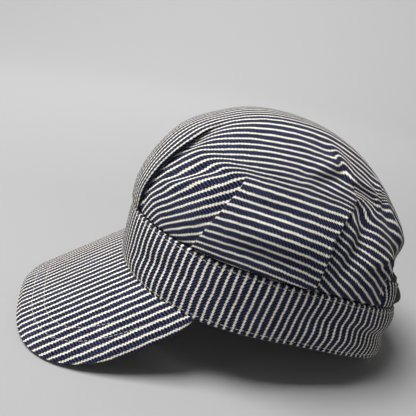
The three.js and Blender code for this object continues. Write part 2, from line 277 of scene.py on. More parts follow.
def deselect() -> None:
    """Leaves nothing selected, so that an operator acts on the new piece alone."""
    bpy.ops.object.select_all(action="DESELECT")


def work_on(piece: bpy.types.Object) -> None:
    """Makes one piece the active and only selected object.

    Args:
        piece: The piece.
    """
    deselect()
    piece.select_set(True)
    bpy.context.view_layer.objects.active = piece


def add_skin(name: str, places: Array, lay: Array, crease_deg: float = 50.0) -> bpy.types.Object:
    """Models a closed cloth skin from one grid: the grid is shaped, and its meeting edges are sewn together.

    Args:
        name: Piece name.
        places: Points in the cap's own frame, columns by rows by coordinates.
        lay: Place of each point on the flat cloth in millimetres, across and along the stripes.
        crease_deg: Edges sharper than this stay sharp.

    Returns:
        The finished piece.
    """
    columns, rows = places.shape[:2]
    deselect()
    bpy.ops.mesh.primitive_grid_add(x_subdivisions=columns - 1, y_subdivisions=rows - 1, size=2.0)
    piece = bpy.context.object
    piece.name = name
    mesh = piece.data
    mesh.name = name
    flat = np.empty(len(mesh.vertices) * 3)
    mesh.vertices.foreach_get("co", flat)
    spots = flat.reshape(-1, 3)
    column = np.rint((spots[:, 0] + 1.0) / 2.0 * (columns - 1)).astype(int)
    row = np.rint((spots[:, 1] + 1.0) / 2.0 * (rows - 1)).astype(int)
    mesh.vertices.foreach_set("co", REST.place(places[column, row]).ravel())
    corners = np.empty(len(mesh.loops), dtype=np.int32)
    mesh.loops.foreach_get("vertex_index", corners)
    uv = mesh.uv_layers.active or mesh.uv_layers.new(name=LAY_MAP)
    uv.name = LAY_MAP
    uv.data.foreach_set("uv", lay[column[corners], row[corners]].astype(np.float32).ravel())
    mesh.update()
    work_on(piece)
    bpy.ops.object.mode_set(mode="EDIT")
    bpy.ops.mesh.select_all(action="SELECT")
    bpy.ops.mesh.remove_doubles(threshold=MERGE_DISTANCE)
    bpy.ops.object.mode_set(mode="OBJECT")
    bpy.ops.object.shade_smooth_by_angle(angle=math.radians(crease_deg))
    return piece


def arc_lengths(points: Array) -> Array:
    """Lengths along a line of points, from its first one."""
    steps = np.linalg.norm(np.diff(points, axis=0), axis=-1)
    return np.concatenate([[0.0], np.cumsum(steps)])


class Panel(Enum):
    """Cloth panels of one half of the crown, from the front to the back."""

    FRONT = "centre front"
    FRONT_SIDE = "front side"
    SIDE = "side box"
    REAR = "rear"


@dataclass(frozen=True)
class Fold:
    """Edge of a pleat: its plan angle at each climb stop, where it fades out, the panel on top (-1 before the
    fold, 1 behind it), how much of its rise it has at the band, and whether it runs along the stripes."""

    line: tuple[float, ...]
    end: float
    rise: float
    raised_side: int
    foot_share: float
    along_stripes: bool = False
    foot_reach: float = 16.0
    fade_start: float = 0.62

    def angle(self, climb: Array) -> Array:
        """Plan angle of the fold at a climb angle."""
        return np.interp(climb, CLIMB_STOPS, self.line)

    def strength(self, climb: Array) -> Array:
        """Strength of the fold, full at the band and none past its end."""
        return 1.0 - smooth((climb / self.end - self.fade_start) / (1.0 - self.fade_start))

    def foot(self, climb: Array) -> Array:
        """Share of its rise that the fold's foot at the band lets it have at a climb angle."""
        return mix(self.foot_share, 1.0, smooth(climb / self.foot_reach))

    def height(self, climb: Array) -> Array:
        """Height of the fold's top cloth over the plain dome at a climb angle."""
        return self.rise * self.foot(climb) * self.strength(climb)


CLIMB_STOPS = (0.0, 13.0, 26.0, 34.0, 42.0, 52.0, 62.0, 90.0)
FRONT_PLEAT = Fold(
    (9.5, 9.3, 11.0, 13.4, 15.6, 16.2, 20.0, 22.0), end=64.0, rise=3.0, raised_side=-1, foot_share=0.45,
    along_stripes=True,
)
SIDE_FRONT = Fold(
    (44.0, 47.0, 50.5, 52.0, 52.0, 52.5, 53.0, 54.0), end=41.0, rise=2.4, raised_side=1, foot_share=0.5
)
SIDE_REAR = Fold(
    (89.5, 90.3, 92.0, 96.5, 104.5, 107.0, 108.0, 108.0), end=44.0, rise=2.8, raised_side=-1, foot_share=0.5
)


@dataclass(frozen=True)
class Hollow:
    """Soft hollow (depth above 0) or puff of the crown: place, half widths in degrees, and depth."""

    at: float
    climb: float
    span_at: float
    span_climb: float
    depth: float

    def sinking(self, angle: Array, climb: Array) -> Array:
        """Depth of the hollow at places on the crown."""
        across = (np.abs(angle) - self.at) / self.span_at
        return self.depth * bell(across) * bell((climb - self.climb) / self.span_climb)


# Millimetres of cloth that a degree of plan angle spans at the band, and a degree of climb angle anywhere.
PLAN_DEGREE = 1.6
CLIMB_DEGREE = 1.45
# The plan degrees narrow towards the top as this power of the climb angle's cosine, up to a highest climb.
NARROWING = 0.86
NARROWEST = 85.0


@dataclass(frozen=True)
class Crease:
    """Line along which gathered cloth is creased: plan and climb angles, depth and half width.

    With lopsided set, the cloth puffs out below the line and sinks above it, and is otherwise plainly sunk.
    """

    path: tuple[tuple[float, float], ...]
    depth: float
    width: float
    lopsided: bool = False

    def sinking(self, angle: Array, climb: Array) -> Array:
        """Depth of the crease, full at its middle and none at its ends.

        Args:
            angle: Plan angles.
            climb: Climb angles.

        Returns:
            Depths in millimetres.
        """
        narrow = PLAN_DEGREE * np.cos(np.radians(np.clip(climb, 0.0, NARROWEST))) ** NARROWING
        x = np.abs(angle) * narrow
        y = climb * CLIMB_DEGREE
        nearest = np.full(np.broadcast(x, y).shape, np.inf)
        side = np.zeros_like(nearest)
        place = np.zeros_like(nearest)
        for number, (first, last) in enumerate(zip(self.path, self.path[1:])):
            from_x = x - first[0] * narrow
            from_y = y - first[1] * CLIMB_DEGREE
            run_x = (last[0] - first[0]) * narrow
            run_y = (last[1] - first[1]) * CLIMB_DEGREE
            share = np.clip((from_x * run_x + from_y * run_y) / (run_x**2 + run_y**2), 0.0, 1.0)
            away = np.hypot(from_x - run_x * share, from_y - run_y * share)
            closer = away < nearest
            nearest = np.where(closer, away, nearest)
            side = np.where(closer, np.sign(run_x * from_y - run_y * from_x), side)
            place = np.where(closer, (number + share) / (len(self.path) - 1), place)
        reach = nearest / self.width
        strength = self.depth * np.sqrt(np.clip(4.0 * place * (1.0 - place), 0.0, 1.0))
        if self.lopsided:
            return strength * side * reach * np.exp(0.5 - reach**2 / 2.0)
        return strength * bell(reach)


# Spans before and behind a panel's middle, and below and above it, past which its lay changes no further.
LAY_REACH = (-1.25, 1.35)
LAY_CLIMB_REACH = (-1.6, 1.6)


@dataclass(frozen=True)
class PanelLay:
    """How a panel's cloth is laid against plain stripes that run front to back.

    The place and spans of its middle are plan and climb angles. The rest are millimetres across the stripes,
    at the middle and per span away from it.
    """

    at: float
    climb: float
    span_at: float
    span_climb: float
    shift: float
    turn: float
    spread: float
    twist: float
    bow: float
    cup: float

    def offset(self, angle: Array, climb: Array) -> Array:
        """Shift of the stripes.

        Args:
            angle: Plan angles, 0 or more.
            climb: Climb angles.

        Returns:
            Millimetres across the stripes.
        """
        s = np.clip((angle - self.at) / self.span_at, *LAY_REACH)
        t = np.clip((climb - self.climb) / self.span_climb, *LAY_CLIMB_REACH)
        level = self.shift + self.turn * s + self.spread * t
        return level + self.twist * s * t + self.bow * s**2 + self.cup * t**2


PANEL_LAYS = {
    Panel.FRONT_SIDE: PanelLay(30, 22, 20, 18, 20.6, -12.3, -3.6, 7.4, 1.8, 0.4),
    Panel.SIDE: PanelLay(70, 25, 20, 15, 3.9, -11.3, -1.5, 2.4, 4.2, 0.6),
    Panel.REAR: PanelLay(115, 25, 20, 15, -4.1, 2.6, 0.5, 1.6, 7.5, -1.2),
}
TOP_LAY = PanelLay(80, 60, 50, 15, -6.7, -6.8, 0.0, 4.4, 3.6, 3.5)
TOP_LAY_STARTS = {Panel.FRONT: 56.0, Panel.FRONT_SIDE: 37.0, Panel.SIDE: 37.0, Panel.REAR: 45.0}
TOP_LAY_BLEND = 8.0
MIDDLE_BLEND = 32.0
REAR_BLEND_START = 122.0
FRONT_STRIPES = 4.0


@dataclass(frozen=True)
class Drape:
    """Cloth that comes steeply out from under the side panel's rear fold and levels out behind it."""

    shift: float = 10.0
    reach: float = 16.0
    climb: float = 43.0
    span_climb: float = 7.5

    def offset(self, angle: Array, climb: Array) -> Array:
        """Shift across the stripes, in millimetres, at places behind the fold."""
        away = np.maximum(angle - SIDE_REAR.angle(climb), 0.0)
        return self.shift * (1.0 - smooth(away / self.reach)) * bell((climb - self.climb) / self.span_climb)


DRAPE = Drape()
# Where the cloth is gathered, its stripes are drawn along these lines and over this peak.
GATHERS = (
    Crease(((42, 36.5), (34, 32), (27, 27), (18, 21.5)), 1.3, 3.2, True),
    Crease(((105, 61), (97, 55), (88, 51), (75, 47)), 1.6, 3.6, True),
    Crease(((121, 46), (114, 50), (103, 52.5)), 1.1, 3.2, True),
)
PEAK = Hollow(106.0, 62.0, 6.5, 7.0, 6.0)


@dataclass
class StripeLay:
    """Place of each point of the crown on its flat cloth, measured across and along the stripes.

    The lengths across are measured once, on a grid of plan and climb angles, by walks over the plain dome.
    """

    form: HeadForm = FORM
    low_centre: float = 20.0
    step: float = 1.0
    least_step: float = 0.01
    most_steps: int = 190
    arrival: float = 0.02
    nudge: float = 1e-3
    grid_climbs: tuple[float, float] = (0.3, 89.4)
    walk_climbs: tuple[float, float] = (0.05, 89.8)
    settled_middle: float = 14.0
    settled_side: float = 6.0
    side_start: float = 8.0
    side_span: float = 30.0
    slope_reach: float = 4.0
    angles: Array = field(default_factory=lambda: np.linspace(0.0, 180.0, 61))
    climbs: Array = field(default_factory=lambda: np.linspace(0.0, 90.0, 46))
    across: Array = field(init=False)

    def __post_init__(self) -> None:
        """Measures the plain dome."""
        self.across = self.measure()
        self.straighten_foot()

    def measure(self) -> Array:
        """Walks over the dome from each grid point to the middle plane, at a level distance from the front.

        Returns:
            Length of each walk.
        """
        form = self.form
        grid = np.meshgrid(self.angles, np.clip(self.climbs, *self.grid_climbs), indexing="ij")
        angle, climb = (part.ravel() for part in grid)
        length = np.zeros(len(angle))
        before = np.zeros((len(angle), 3))
        for _ in range(self.most_steps):
            here = form.dome_point(angle, climb, 0.0)
            left = here[:, 0]
            going = left > self.arrival
            if not going.any():
                break
            by_angle = (form.dome_point(angle + self.nudge, climb, 0.0) - here) / self.nudge
            by_climb = (form.dome_point(angle, climb + self.nudge, 0.0) - here) / self.nudge
            turn = by_climb[:, 1]
            lift = -by_angle[:, 1]
            move = by_angle * turn[:, None] + by_climb * lift[:, None]
            onward = np.sum(move * before, axis=1)
            onward = np.where(onward == 0.0, move[:, 2], onward)
            way = np.where(onward >= 0.0, 1.0, -1.0)
            size = np.linalg.norm(move, axis=1) + TINY
            wanted = left * size / (np.abs(move[:, 0]) + TINY)
            scale = way * np.minimum(self.step, np.maximum(wanted, self.least_step)) / size * going
            angle = angle + turn * scale
            climb = np.clip(climb + lift * scale, *self.walk_climbs)
            moved = form.dome_point(angle, climb, 0.0) - here
            length += np.linalg.norm(moved, axis=1)
            before = np.where(going[:, None], moved, before)
        return length.reshape(grid[0].shape)

    def straighten_foot(self) -> None:
        """Carries the stripes straight down to the band where the plain dome bulges over it."""
        for row, angle in zip(self.across, self.angles):
            sideways = smooth((min(angle, 180.0 - angle) - self.side_start) / self.side_span)
            settled = mix(self.settled_middle, self.settled_side, sideways)
            at_settled, above = np.interp((settled, settled + self.slope_reach), self.climbs, row)
            slope = (above - at_settled) / self.slope_reach * sideways
            low = self.climbs < settled
            row[low] = at_settled + slope * (self.climbs[low] - settled)

    def plain(self, angle: Array, climb: Array) -> Array:
        """Length across the stripes on the plain dome, read between the grid points.

        Args:
            angle: Plan angles.
            climb: Climb angles.

        Returns:
            Millimetres from the middle plane, never below 0.
        """
        column = np.clip(np.abs(angle) / self.angles[1], 0, len(self.angles) - 1.001)
        row = np.clip(climb / self.climbs[1], 0, len(self.climbs) - 1.001)
        left = column.astype(int)
        below = row.astype(int)
        low, high = (
            mix(self.across[left, level], self.across[left + 1, level], column - left)
            for level in (below, below + 1)
        )
        return mix(low, high, row - below)

    def along(self, angle: Array, climb: Array) -> Array:
        """Length along the stripes from the top's cross plane, near enough for the twill that is drawn by it.

        Args:
            angle: Plan angles.
            climb: Climb angles.

        Returns:
            Millimetres, above 0 behind the plane.
        """
        point = self.form.dome_point(angle, climb, 0.0)
        behind = point[..., 1] - self.form.half_length * self.form.apex_shift
        above = point[..., 2] - self.low_centre
        return np.hypot(behind, above) * np.arctan2(behind, above)

    def place(self, angle: Array, climb: Array, panel: Panel) -> Array:
        """Place on the flat cloth.

        Args:
            angle: Plan angles.
            climb: Climb angles.
            panel: Panel that the cloth there belongs to.

        Returns:
            Millimetres across and along the stripes, last axis 2.
        """
        plain = self.plain(angle, climb)
        spot = np.abs(angle)
        to_middle = 1.0 - smooth((spot - REAR_BLEND_START) / (180.0 - REAR_BLEND_START))
        top = TOP_LAY.offset(spot, climb) * smooth(plain / MIDDLE_BLEND) * to_middle
        share = smooth((climb - TOP_LAY_STARTS[panel]) / TOP_LAY_BLEND)
        if panel is Panel.FRONT:
            edge = self.plain(FRONT_PLEAT.angle(climb), climb)
            own = plain * (FRONT_STRIPES * STRIPE_PITCH / np.maximum(edge, 1.0) - 1.0)
        else:
            own = PANEL_LAYS[panel].offset(spot, climb)
            if panel is Panel.REAR:
                own = (own + DRAPE.offset(spot, climb)) * to_middle
        drawn = sum(form.sinking(spot, climb) for form in (*GATHERS, PEAK))
        across = (plain + mix(own, top, share) + drawn) * np.sign(angle)
        return np.stack([across, self.along(angle, climb)], axis=-1)


@dataclass(frozen=True)
class Column:
    """Upward line of cloth.

    It has its plan angle and rise as functions of climb, its panel, the height it starts at, and how much
    further across the cloth it lies than its plan angle tells.
    """

    angle: Line
    rise: Line
    panel: Panel
    start: float = 0.0
    further: float = 0.0


@dataclass(frozen=True)
class FoldSpot:
    """One line of the cloth round a fold's edge.

    It has its place behind the edge in millimetres, where the fold has faded out and where it is full, its
    share of the fold's height, how much further across the cloth it lies, and whether it is of the top panel.
    """

    flat: float
    rolled: float
    lift: float
    further: float = 0.0
    on_top: bool = True


FOLD_SECTION = (
    FoldSpot(-1.8, -1.5, 1.0),
    FoldSpot(-1.3, -0.7, 1.0),
    FoldSpot(-0.8, 0.0, 0.93, 0.1),
    FoldSpot(-0.4, 0.5, 0.55, 1.1),
    FoldSpot(0.0, 0.45, 0.1, 2.4),
    FoldSpot(0.4, -0.9, -0.15, 4.0),
    FoldSpot(0.8, -1.0, -0.35, on_top=False),
    FoldSpot(1.3, 0.8, -0.42, on_top=False),
    FoldSpot(1.8, 1.7, -0.43, on_top=False),
)


# Past this climb angle, so near the top, a millimetre takes up no more plan degrees.
FREE_CLIMB = 84.0


@dataclass
class Crown:
    """Pleated crown: raised centre-front and side panels, and plain cloth between and behind them."""

    skirt: float = 6.0
    tuck_height: float = 2.2
    hollow: float = 1.5
    lining: float = 0.9
    hollow_reach: float = 4.5
    margin: float = 2.2
    opening_margin: float = 0.6
    crowding: float = 1.1
    hem: float = 3.2
    opening_start: float = 121.0
    opening_height: float = 34.0
    opening_shoulder: float = 27.5
    opening_power: float = 4.2
    opening_middle_span: float = 45.0
    lip_depth: float = 7.2
    lip_top: float = 46.0
    lip_fall: float = 16.0
    lip_start: float = 122.0
    lip_span: float = 16.0
    rows: int = 84
    inner_rows: int = 44
    front_count: int = 8
    front_side_count: int = 32
    side_count: int = 40
    rear_count: int = 30
    opening_count: int = 36
    hollows: tuple[Hollow, ...] = (
        Hollow(118, 26, 5.5, 10, -2.0),
        Hollow(128, 44, 4.0, 9, 1.6),
        Hollow(134, 36, 4.0, 8, -1.6),
        Hollow(143, 38, 3.5, 9, 1.8),
        Hollow(151, 36, 4.5, 10, -0.8),
        Hollow(161, 40, 5.0, 10, 1.8),
        Hollow(119, 15, 4.0, 6, 1.4),
        Hollow(112, 11, 3.5, 6, -0.9),
        Hollow(66, 30, 11.0, 3.4, 2.4),
        Hollow(72, 20, 14.0, 5, -2.0),
        Hollow(70, 10.5, 13.0, 3.2, 2.1),
        Hollow(60, 60, 14.0, 5, 0.8),
        Hollow(90, 66, 12.0, 5, 0.9),
    )
    creases: tuple[Crease, ...] = (
        Crease(((105.5, 44), (108, 39), (109, 34), (107, 28), (103, 21), (99.5, 14), (97.5, 8)), 4.2, 5.0),
        Crease(((103.5, 61), (95.5, 54.5), (88, 51.5), (80, 48.5)), 1.6, 3.6, True),
        Crease(((123, 43), (121, 48), (114, 50.5), (106, 52), (102, 56)), 1.5, 3.0, True),
        Crease(((20, 22.5), (27, 27), (34, 32), (41, 36)), 1.0, 3.4, True),
        Crease(((126, 21), (121, 23), (114, 20), (110, 17)), 1.3, 2.6, True),
        Crease(((141, 55), (133, 50), (128, 45)), 1.6, 2.6, True),
    )
    lay: StripeLay = field(default_factory=StripeLay)

    def sinking(self, angle: Array, climb: Array) -> Array:
        """Depth of the soft hollows and creases."""
        return sum(form.sinking(angle, climb) for form in (*self.hollows, *self.creases))

    def lip(self, angle: Array, climb: Array) -> Array:
        """How far the cloth over the opening is pulled in towards the strap."""
        around = smooth((np.abs(angle) - self.lip_start) / self.lip_span)
        return self.lip_depth * around * smooth((self.lip_top - FORM.height_at(angle, climb)) / self.lip_fall)

    def degrees(self, length: Array, climb: Array) -> Array:
        """Plan degrees that a short level length takes up.

        Args:
            length: Length in millimetres.
            climb: Climb angle in degrees.

        Returns:
            Degrees.
        """
        level = np.cos(np.radians(np.clip(climb, 0.0, FREE_CLIMB)))
        radius = FORM.half_width * level ** (2.0 / FORM.side_power)
        return np.degrees(length / radius)

    def arch(self, turn: float, outside: float = 0.0) -> tuple[float, float]:
        """Plan angle and height of the opening's edge.

        Args:
            turn: Way along the edge, from 0 at the band to half pi at its middle.
            outside: Distance outside the edge in millimetres.

        Returns:
            The plan angle, and the height above the band.
        """
        span = 180.0 - self.opening_start + math.degrees(outside / FORM.half_width)
        plan = 180.0 - span * max(math.cos(turn), 0.0) ** (2.0 / self.opening_power)
        middle = float(smooth((plan - 180.0 + self.opening_middle_span) / self.opening_middle_span))
        height = (self.opening_shoulder + outside) * math.sin(turn) ** (2.0 / self.opening_power)
        return plan, height + (self.opening_height - self.opening_shoulder) * middle

    def panel_rise(self, panel: Panel, angle: Array, climb: Array) -> Array:
        """Height of a panel over the plain dome, away from the rolled edges of its folds.

        Args:
            panel: The panel.
            angle: Plan angles.
            climb: Climb angles.

        Returns:
            Heights in millimetres, below 0 where the cloth sinks beside a fold that lies on it.
        """
        if panel is Panel.FRONT:
            return FRONT_PLEAT.height(climb)
        if panel is Panel.SIDE:
            low = SIDE_FRONT.angle(climb)
            share = (angle - low) / (SIDE_REAR.angle(climb) - low)
            strength = mix(SIDE_FRONT.strength(climb), SIDE_REAR.strength(climb), share)
            return SIDE_FRONT.rise * SIDE_FRONT.foot(climb) * strength
        sink = 0.0
        for fold in (SIDE_REAR,) if panel is Panel.REAR else (FRONT_PLEAT, SIDE_FRONT):
            sink = sink + fold.strength(climb) * bell((angle - fold.angle(climb)) / self.hollow_reach)
        return -self.hollow * sink

    def panel_columns(self, panel: Panel, first: Fold | None, last: Fold | None, count: int) -> list[Column]:
        """Lines of cloth of one panel, evenly spread between its folds.

        Args:
            panel: The panel.
            first: Fold at its front edge, none at the cap's middle.
            last: Fold at its rear edge, none at the opening.
            count: Gaps between the lines.

        Returns:
            The lines, from the front to the back.
        """

        def angle(share: float, climb: Array) -> Array:
            """Plan angle of a line.

            Args:
                share: Way from the panel's front edge (0) to its rear edge (1).
                climb: Climb angles.

            Returns:
                Plan angles.
            """
            margin = self.degrees(self.margin, climb)
            low = first.angle(climb) + margin if first else 0.0
            high = last.angle(climb) - margin if last else self.opening_start - self.opening_margin
            return mix(low, high, share)

        def rise(share: float, climb: Array) -> Array:
            """Height over the plain dome at the same place."""
            return self.panel_rise(panel, angle(share, climb), climb)

        shares = np.linspace(0.0, 1.0, count + 1)
        return [Column(partial(angle, share), partial(rise, share), panel) for share in shares]

    def fold_columns(self, fold: Fold, before: Panel, after: Panel) -> list[Column]:
        """Lines of cloth that roll round a fold's edge and go back under it.

        Args:
            fold: The fold.
            before: Panel before it.
            after: Panel behind it.

        Returns:
            The lines, from the front to the back.
        """
        front_on_top = fold.raised_side < 0
        turn = 1.0 if front_on_top else -1.0

        def angle(spot: FoldSpot, climb: Array) -> Array:
            """Plan angle of one line of the fold's section."""
            length = mix(spot.flat, spot.rolled, fold.strength(climb)) * turn
            return fold.angle(climb) + self.degrees(length, climb)

        def rise(spot: FoldSpot, climb: Array) -> Array:
            """Height of the line over the plain dome."""
            return spot.lift * fold.height(climb)

        found = []
        for spot in FOLD_SECTION if front_on_top else reversed(FOLD_SECTION):
            panel = before if spot.on_top == front_on_top else after
            further = spot.further if fold.along_stripes else 0.0
            found.append(Column(partial(angle, spot), partial(rise, spot), panel, further=further))
        return found

    def opening_columns(self) -> list[Column]:
        """Lines of cloth over the left half of the opening.

        Returns:
            The lines, from the opening's near end to its middle.
        """

        def still(plan: float, climb: Array) -> Array:
            """The same plan angle at every climb."""
            return plan + 0.0 * climb

        found = []
        for turn in np.linspace(0.0, math.pi / 2.0, self.opening_count + 1):
            plan, height = self.arch(turn)
            rise = partial(self.panel_rise, Panel.REAR, plan)
            found.append(Column(partial(still, plan), rise, Panel.REAR, height))
        return found

    def columns(self) -> list[Column]:
        """Lines of cloth of the left half.

        Returns:
            The lines, from the front's middle to the opening's middle.
        """
        return [
            *self.panel_columns(Panel.FRONT, None, FRONT_PLEAT, self.front_count),
            *self.fold_columns(FRONT_PLEAT, Panel.FRONT, Panel.FRONT_SIDE),
            *self.panel_columns(Panel.FRONT_SIDE, FRONT_PLEAT, SIDE_FRONT, self.front_side_count),
            *self.fold_columns(SIDE_FRONT, Panel.FRONT_SIDE, Panel.SIDE),
            *self.panel_columns(Panel.SIDE, SIDE_FRONT, SIDE_REAR, self.side_count),
            *self.fold_columns(SIDE_REAR, Panel.SIDE, Panel.REAR),
            *self.panel_columns(Panel.REAR, SIDE_REAR, None, self.rear_count),
            *self.opening_columns(),
        ]

    def skin(self, side: float, angle: Array, climb: Array, rise: Array, inside: float = 0.0) -> Array:
        """Points of the cloth's outer or inner face.

        Args:
            side: 1 for the wearer's left, -1 for the right.
            angle: Plan angles.
            climb: Climb angles.
            rise: Heights of folded cloth over the plain dome.
            inside: Depth of the face inside the outer one.

        Returns:
            Points in millimetres, coordinates last.
        """
        loose = smooth(FORM.height_at(angle, climb) / self.tuck_height)
        tuck = inside + (WALL.band + WALL.gap) * (1.0 - loose)
        inset = tuck + self.lip(angle, climb) + (self.sinking(angle, climb) - rise) * loose
        return FORM.dome_point(side * angle, climb, inset)

    def line(self, column: Column, side: float) -> tuple[Array, Array]:
        """Points of one upward line of cloth, out from the inner top, round the rim and up to the outer top.

        Args:
            column: Line as columns() gives it.
            side: 1 for the wearer's left, -1 for the right.

        Returns:
            Points and their places on the flat cloth.
        """
        at_band = column.angle(np.array(0.0))
        first = FORM.climb_at(side * at_band, WALL.gap + column.start)
        climb, inner_climb = (
            mix(first, 90.0, np.linspace(0.0, 1.0, rows + 1) ** self.crowding)
            for rows in (self.rows, self.inner_rows)
        )
        angle = column.angle(climb)
        inner_angle = column.angle(inner_climb)
        outer = self.skin(side, angle, climb, column.rise(climb))
        inner = self.skin(side, inner_angle, inner_climb, -self.lining, WALL.crown)
        lay = self.lay.place(side * angle, climb, column.panel)
        lay[:, 0] += side * column.further * FRONT_PLEAT.strength(climb)
        inner_lay = self.lay.place(side * inner_angle, inner_climb, column.panel)
        if column.start == 0.0:
            low = 1.0 - self.skirt / (FORM.band_top(at_band) - FORM.edge_height(at_band))
            down = np.array([low, (1.0 + low) / 2.0, 1.0])
            inside = WALL.band + WALL.gap
            skirt = FORM.band_point(side * at_band, down, inside)
            skirt_inner = FORM.band_point(side * at_band, down, inside + WALL.crown)
        else:
            skirt = np.repeat(outer[:1], 3, axis=0)
            skirt_inner = np.repeat(inner[:1], 3, axis=0)
        rim = (skirt_inner[:1] + skirt[:1]) / 2.0
        points = np.concatenate([inner[::-1], skirt_inner[::-1], rim, skirt, outer])
        drop = np.array([[0.0, -self.skirt], [0.0, -self.skirt / 2.0], [0.0, 0.0]])
        hem = lay[:1] + drop
        inner_hem = inner_lay[:1] + drop
        places = np.concatenate([inner_lay[::-1], inner_hem[::-1], hem[:1], hem, lay])
        return points, places

    def build(self) -> bpy.types.Object:
        """Models the crown's cloth.

        Returns:
            The cloth.
        """
        half = self.columns()
        lines = [self.line(column, -1.0) for column in reversed(half[1:])]
        lines.extend(self.line(column, 1.0) for column in half)
        places, lay = (np.stack(part) for part in zip(*lines))
        return add_skin("crown_cloth", places, lay)

    def stitches(self) -> bpy.types.Object:
        """Sews the row that holds the opening's hem.

        Returns:
            The row.
        """
        turns = np.linspace(0.02, 0.5, 120) * math.pi
        angle, height = np.array([self.arch(turn, self.hem) for turn in turns]).T
        climb = FORM.climb_at(angle, WALL.gap + height)
        left, right = (self.skin(side, angle, climb, 0.0) for side in (1.0, -1.0))
        path = np.concatenate([left[:-1], right[::-1]])
        return StitchRow("opening_stitches").build(path, path - np.array([0.0, 0.0, FORM.band_height]))


def rolled_section(thickness: float, edge: float, rows: int, points: int) -> tuple[Array, Array]:
    """Closed section of a flat strip with rolled edges, from its lower outer edge and back to it.

    Args:
        thickness: Thickness in millimetres.
        edge: Height share of a rolled edge.
        rows: Rows of each face.
        points: Points of each rolled edge.

    Returns:
        Height shares, and depths inside the outer face in millimetres.
    """
    up = mix(edge, 1.0 - edge, np.linspace(0.0, 1.0, rows))
    turn = np.radians(np.linspace(0.0, 180.0, points + 2))[1:-1]
    rolled = edge * np.sin(turn)
    over = thickness / 2.0 * (1.0 - np.cos(turn))
    share = np.concatenate([up, 1.0 - edge + rolled, up[::-1], edge - rolled, up[:1]])
    depth = np.concatenate([0.0 * up, over, 0.0 * up + thickness, over[::-1], [0.0]])
    return share, depth


# Height shares at which the stripes are measured round the band, each with its first line's way back.
BAND_LAY = ((0.12, 4.31), (0.88, 3.88))


@dataclass(frozen=True)
class BandHollow:
    """Soft hollow (depth above 0) or bulge of the band: plan angle, height share, half spans and depth."""

    at: float
    share: float
    span_at: float
    span_share: float
    depth: float
    slant: float = 0.0


@dataclass
class Band:
    """Deep band round the head, of doubled cloth with rolled edges and a row of stitches along each."""

    belly: float = 0.8
    columns: int = 300
    rows: int = 34
    roll: float = 1.0
    roll_points: int = 5
    top_row: float = 2.3
    bottom_row: float = 2.8
    groove: float = 0.35
    groove_width: float = 1.1
    lower_fade: float = 12.0
    upper_fade: float = 16.0
    hollows: tuple[BandHollow, ...] = (
        BandHollow(140, 0.42, 24, 0.16, 2.0, -0.004),
        BandHollow(120, 0.66, 13, 0.10, -1.2, -0.004),
        BandHollow(132, 0.80, 20, 0.18, -1.0),
        BandHollow(110, 0.30, 14, 0.14, -1.3),
        BandHollow(98, 0.55, 12, 0.18, 1.5, 0.006),
        BandHollow(66, 0.40, 11, 0.20, 1.2, -0.006),
        BandHollow(33, 0.50, 13, 0.14, 1.3, 0.005),
        BandHollow(20, 0.25, 8, 0.15, -0.6),
        BandHollow(-24, 0.50, 12, 0.15, 1.1, -0.004),
        BandHollow(-70, 0.42, 14, 0.20, 0.8),
        BandHollow(-118, 0.55, 15, 0.18, 1.1, 0.005),
        BandHollow(-146, 0.40, 20, 0.16, 1.6, 0.004),
        BandHollow(168, 0.55, 10, 0.2, 0.7),
    )

    def sinking(self, angle: Array, share: Array) -> Array:
        """Depth of the band's soft hollows and of the grooves that its stitches pull.

        Args:
            angle: Plan angles.
            share: Height shares.

        Returns:
            Depths in millimetres.
        """
        depth = np.zeros(np.broadcast(angle, share).shape)
        for spot in self.hollows:
            away = (angle - spot.at + 180.0) % 360.0 - 180.0
            across = away / spot.span_at
            up = (share - spot.share - spot.slant * away) / spot.span_share
            depth += spot.depth * bell(across) * bell(up)
        height = share * FORM.band_height
        for row in (self.bottom_row, FORM.band_height - self.top_row):
            depth += self.groove * bell((height - row) / self.groove_width)
        return depth * smooth(share * self.lower_fade) * smooth((1.0 - share) * self.upper_fade)

    def bow(self, share: Array) -> Array:
        """Depth of the band's plain face at a height share, below 0 where it bows out."""
        return -4.0 * self.belly * share * (1.0 - share)

    def face(self, angle: Array, share: Array) -> Array:
        """Points of the outer face."""
        return FORM.band_point(angle, share, self.sinking(angle, share) + self.bow(share))

    def build(self) -> bpy.types.Object:
        """Models the band's cloth.

        Returns:
            The cloth.
        """
        share, depth = rolled_section(WALL.band, self.roll / FORM.band_height, self.rows, self.roll_points)
        depth += np.where(np.isin(depth, (0.0, WALL.band)), self.bow(share), 0.0)
        angle = np.linspace(-180.0, 180.0, self.columns + 1)
        sunk = self.sinking(angle[:, None], np.clip(share, 0.0, 1.0)[None])
        places = FORM.band_point(angle[:, None], share[None], depth[None] + sunk)
        rings = []
        for level, phase in BAND_LAY:
            length = arc_lengths(FORM.band_point(angle, level, 0.0))
            rings.append((length - length[self.columns // 2] - phase)[:, None])
        (low, _), (high, _) = BAND_LAY
        across = mix(*rings, (share - low)[None] / (high - low))
        up = np.broadcast_to(share * FORM.band_height, across.shape)
        return add_skin("band_cloth", places, np.stack([across, up], axis=-1))

    def stitches(self) -> list[bpy.types.Object]:
        """Sews the rows along the band's upper and lower edges. The lower one also holds the visor.

        Returns:
            The two rows.
        """
        rows = (
            ("band_top_stitches", FORM.band_height - self.top_row),
            ("band_bottom_stitches", self.bottom_row),
        )
        angle = np.linspace(-180.0, 180.0, 700)
        sewn = []
        for name, height in rows:
            level = np.full_like(angle, height / FORM.band_height)
            normals = surface_normals(self.face, angle, level)
            sewn.append(StitchRow(name).build(self.face(angle, level), normals))
        return sewn


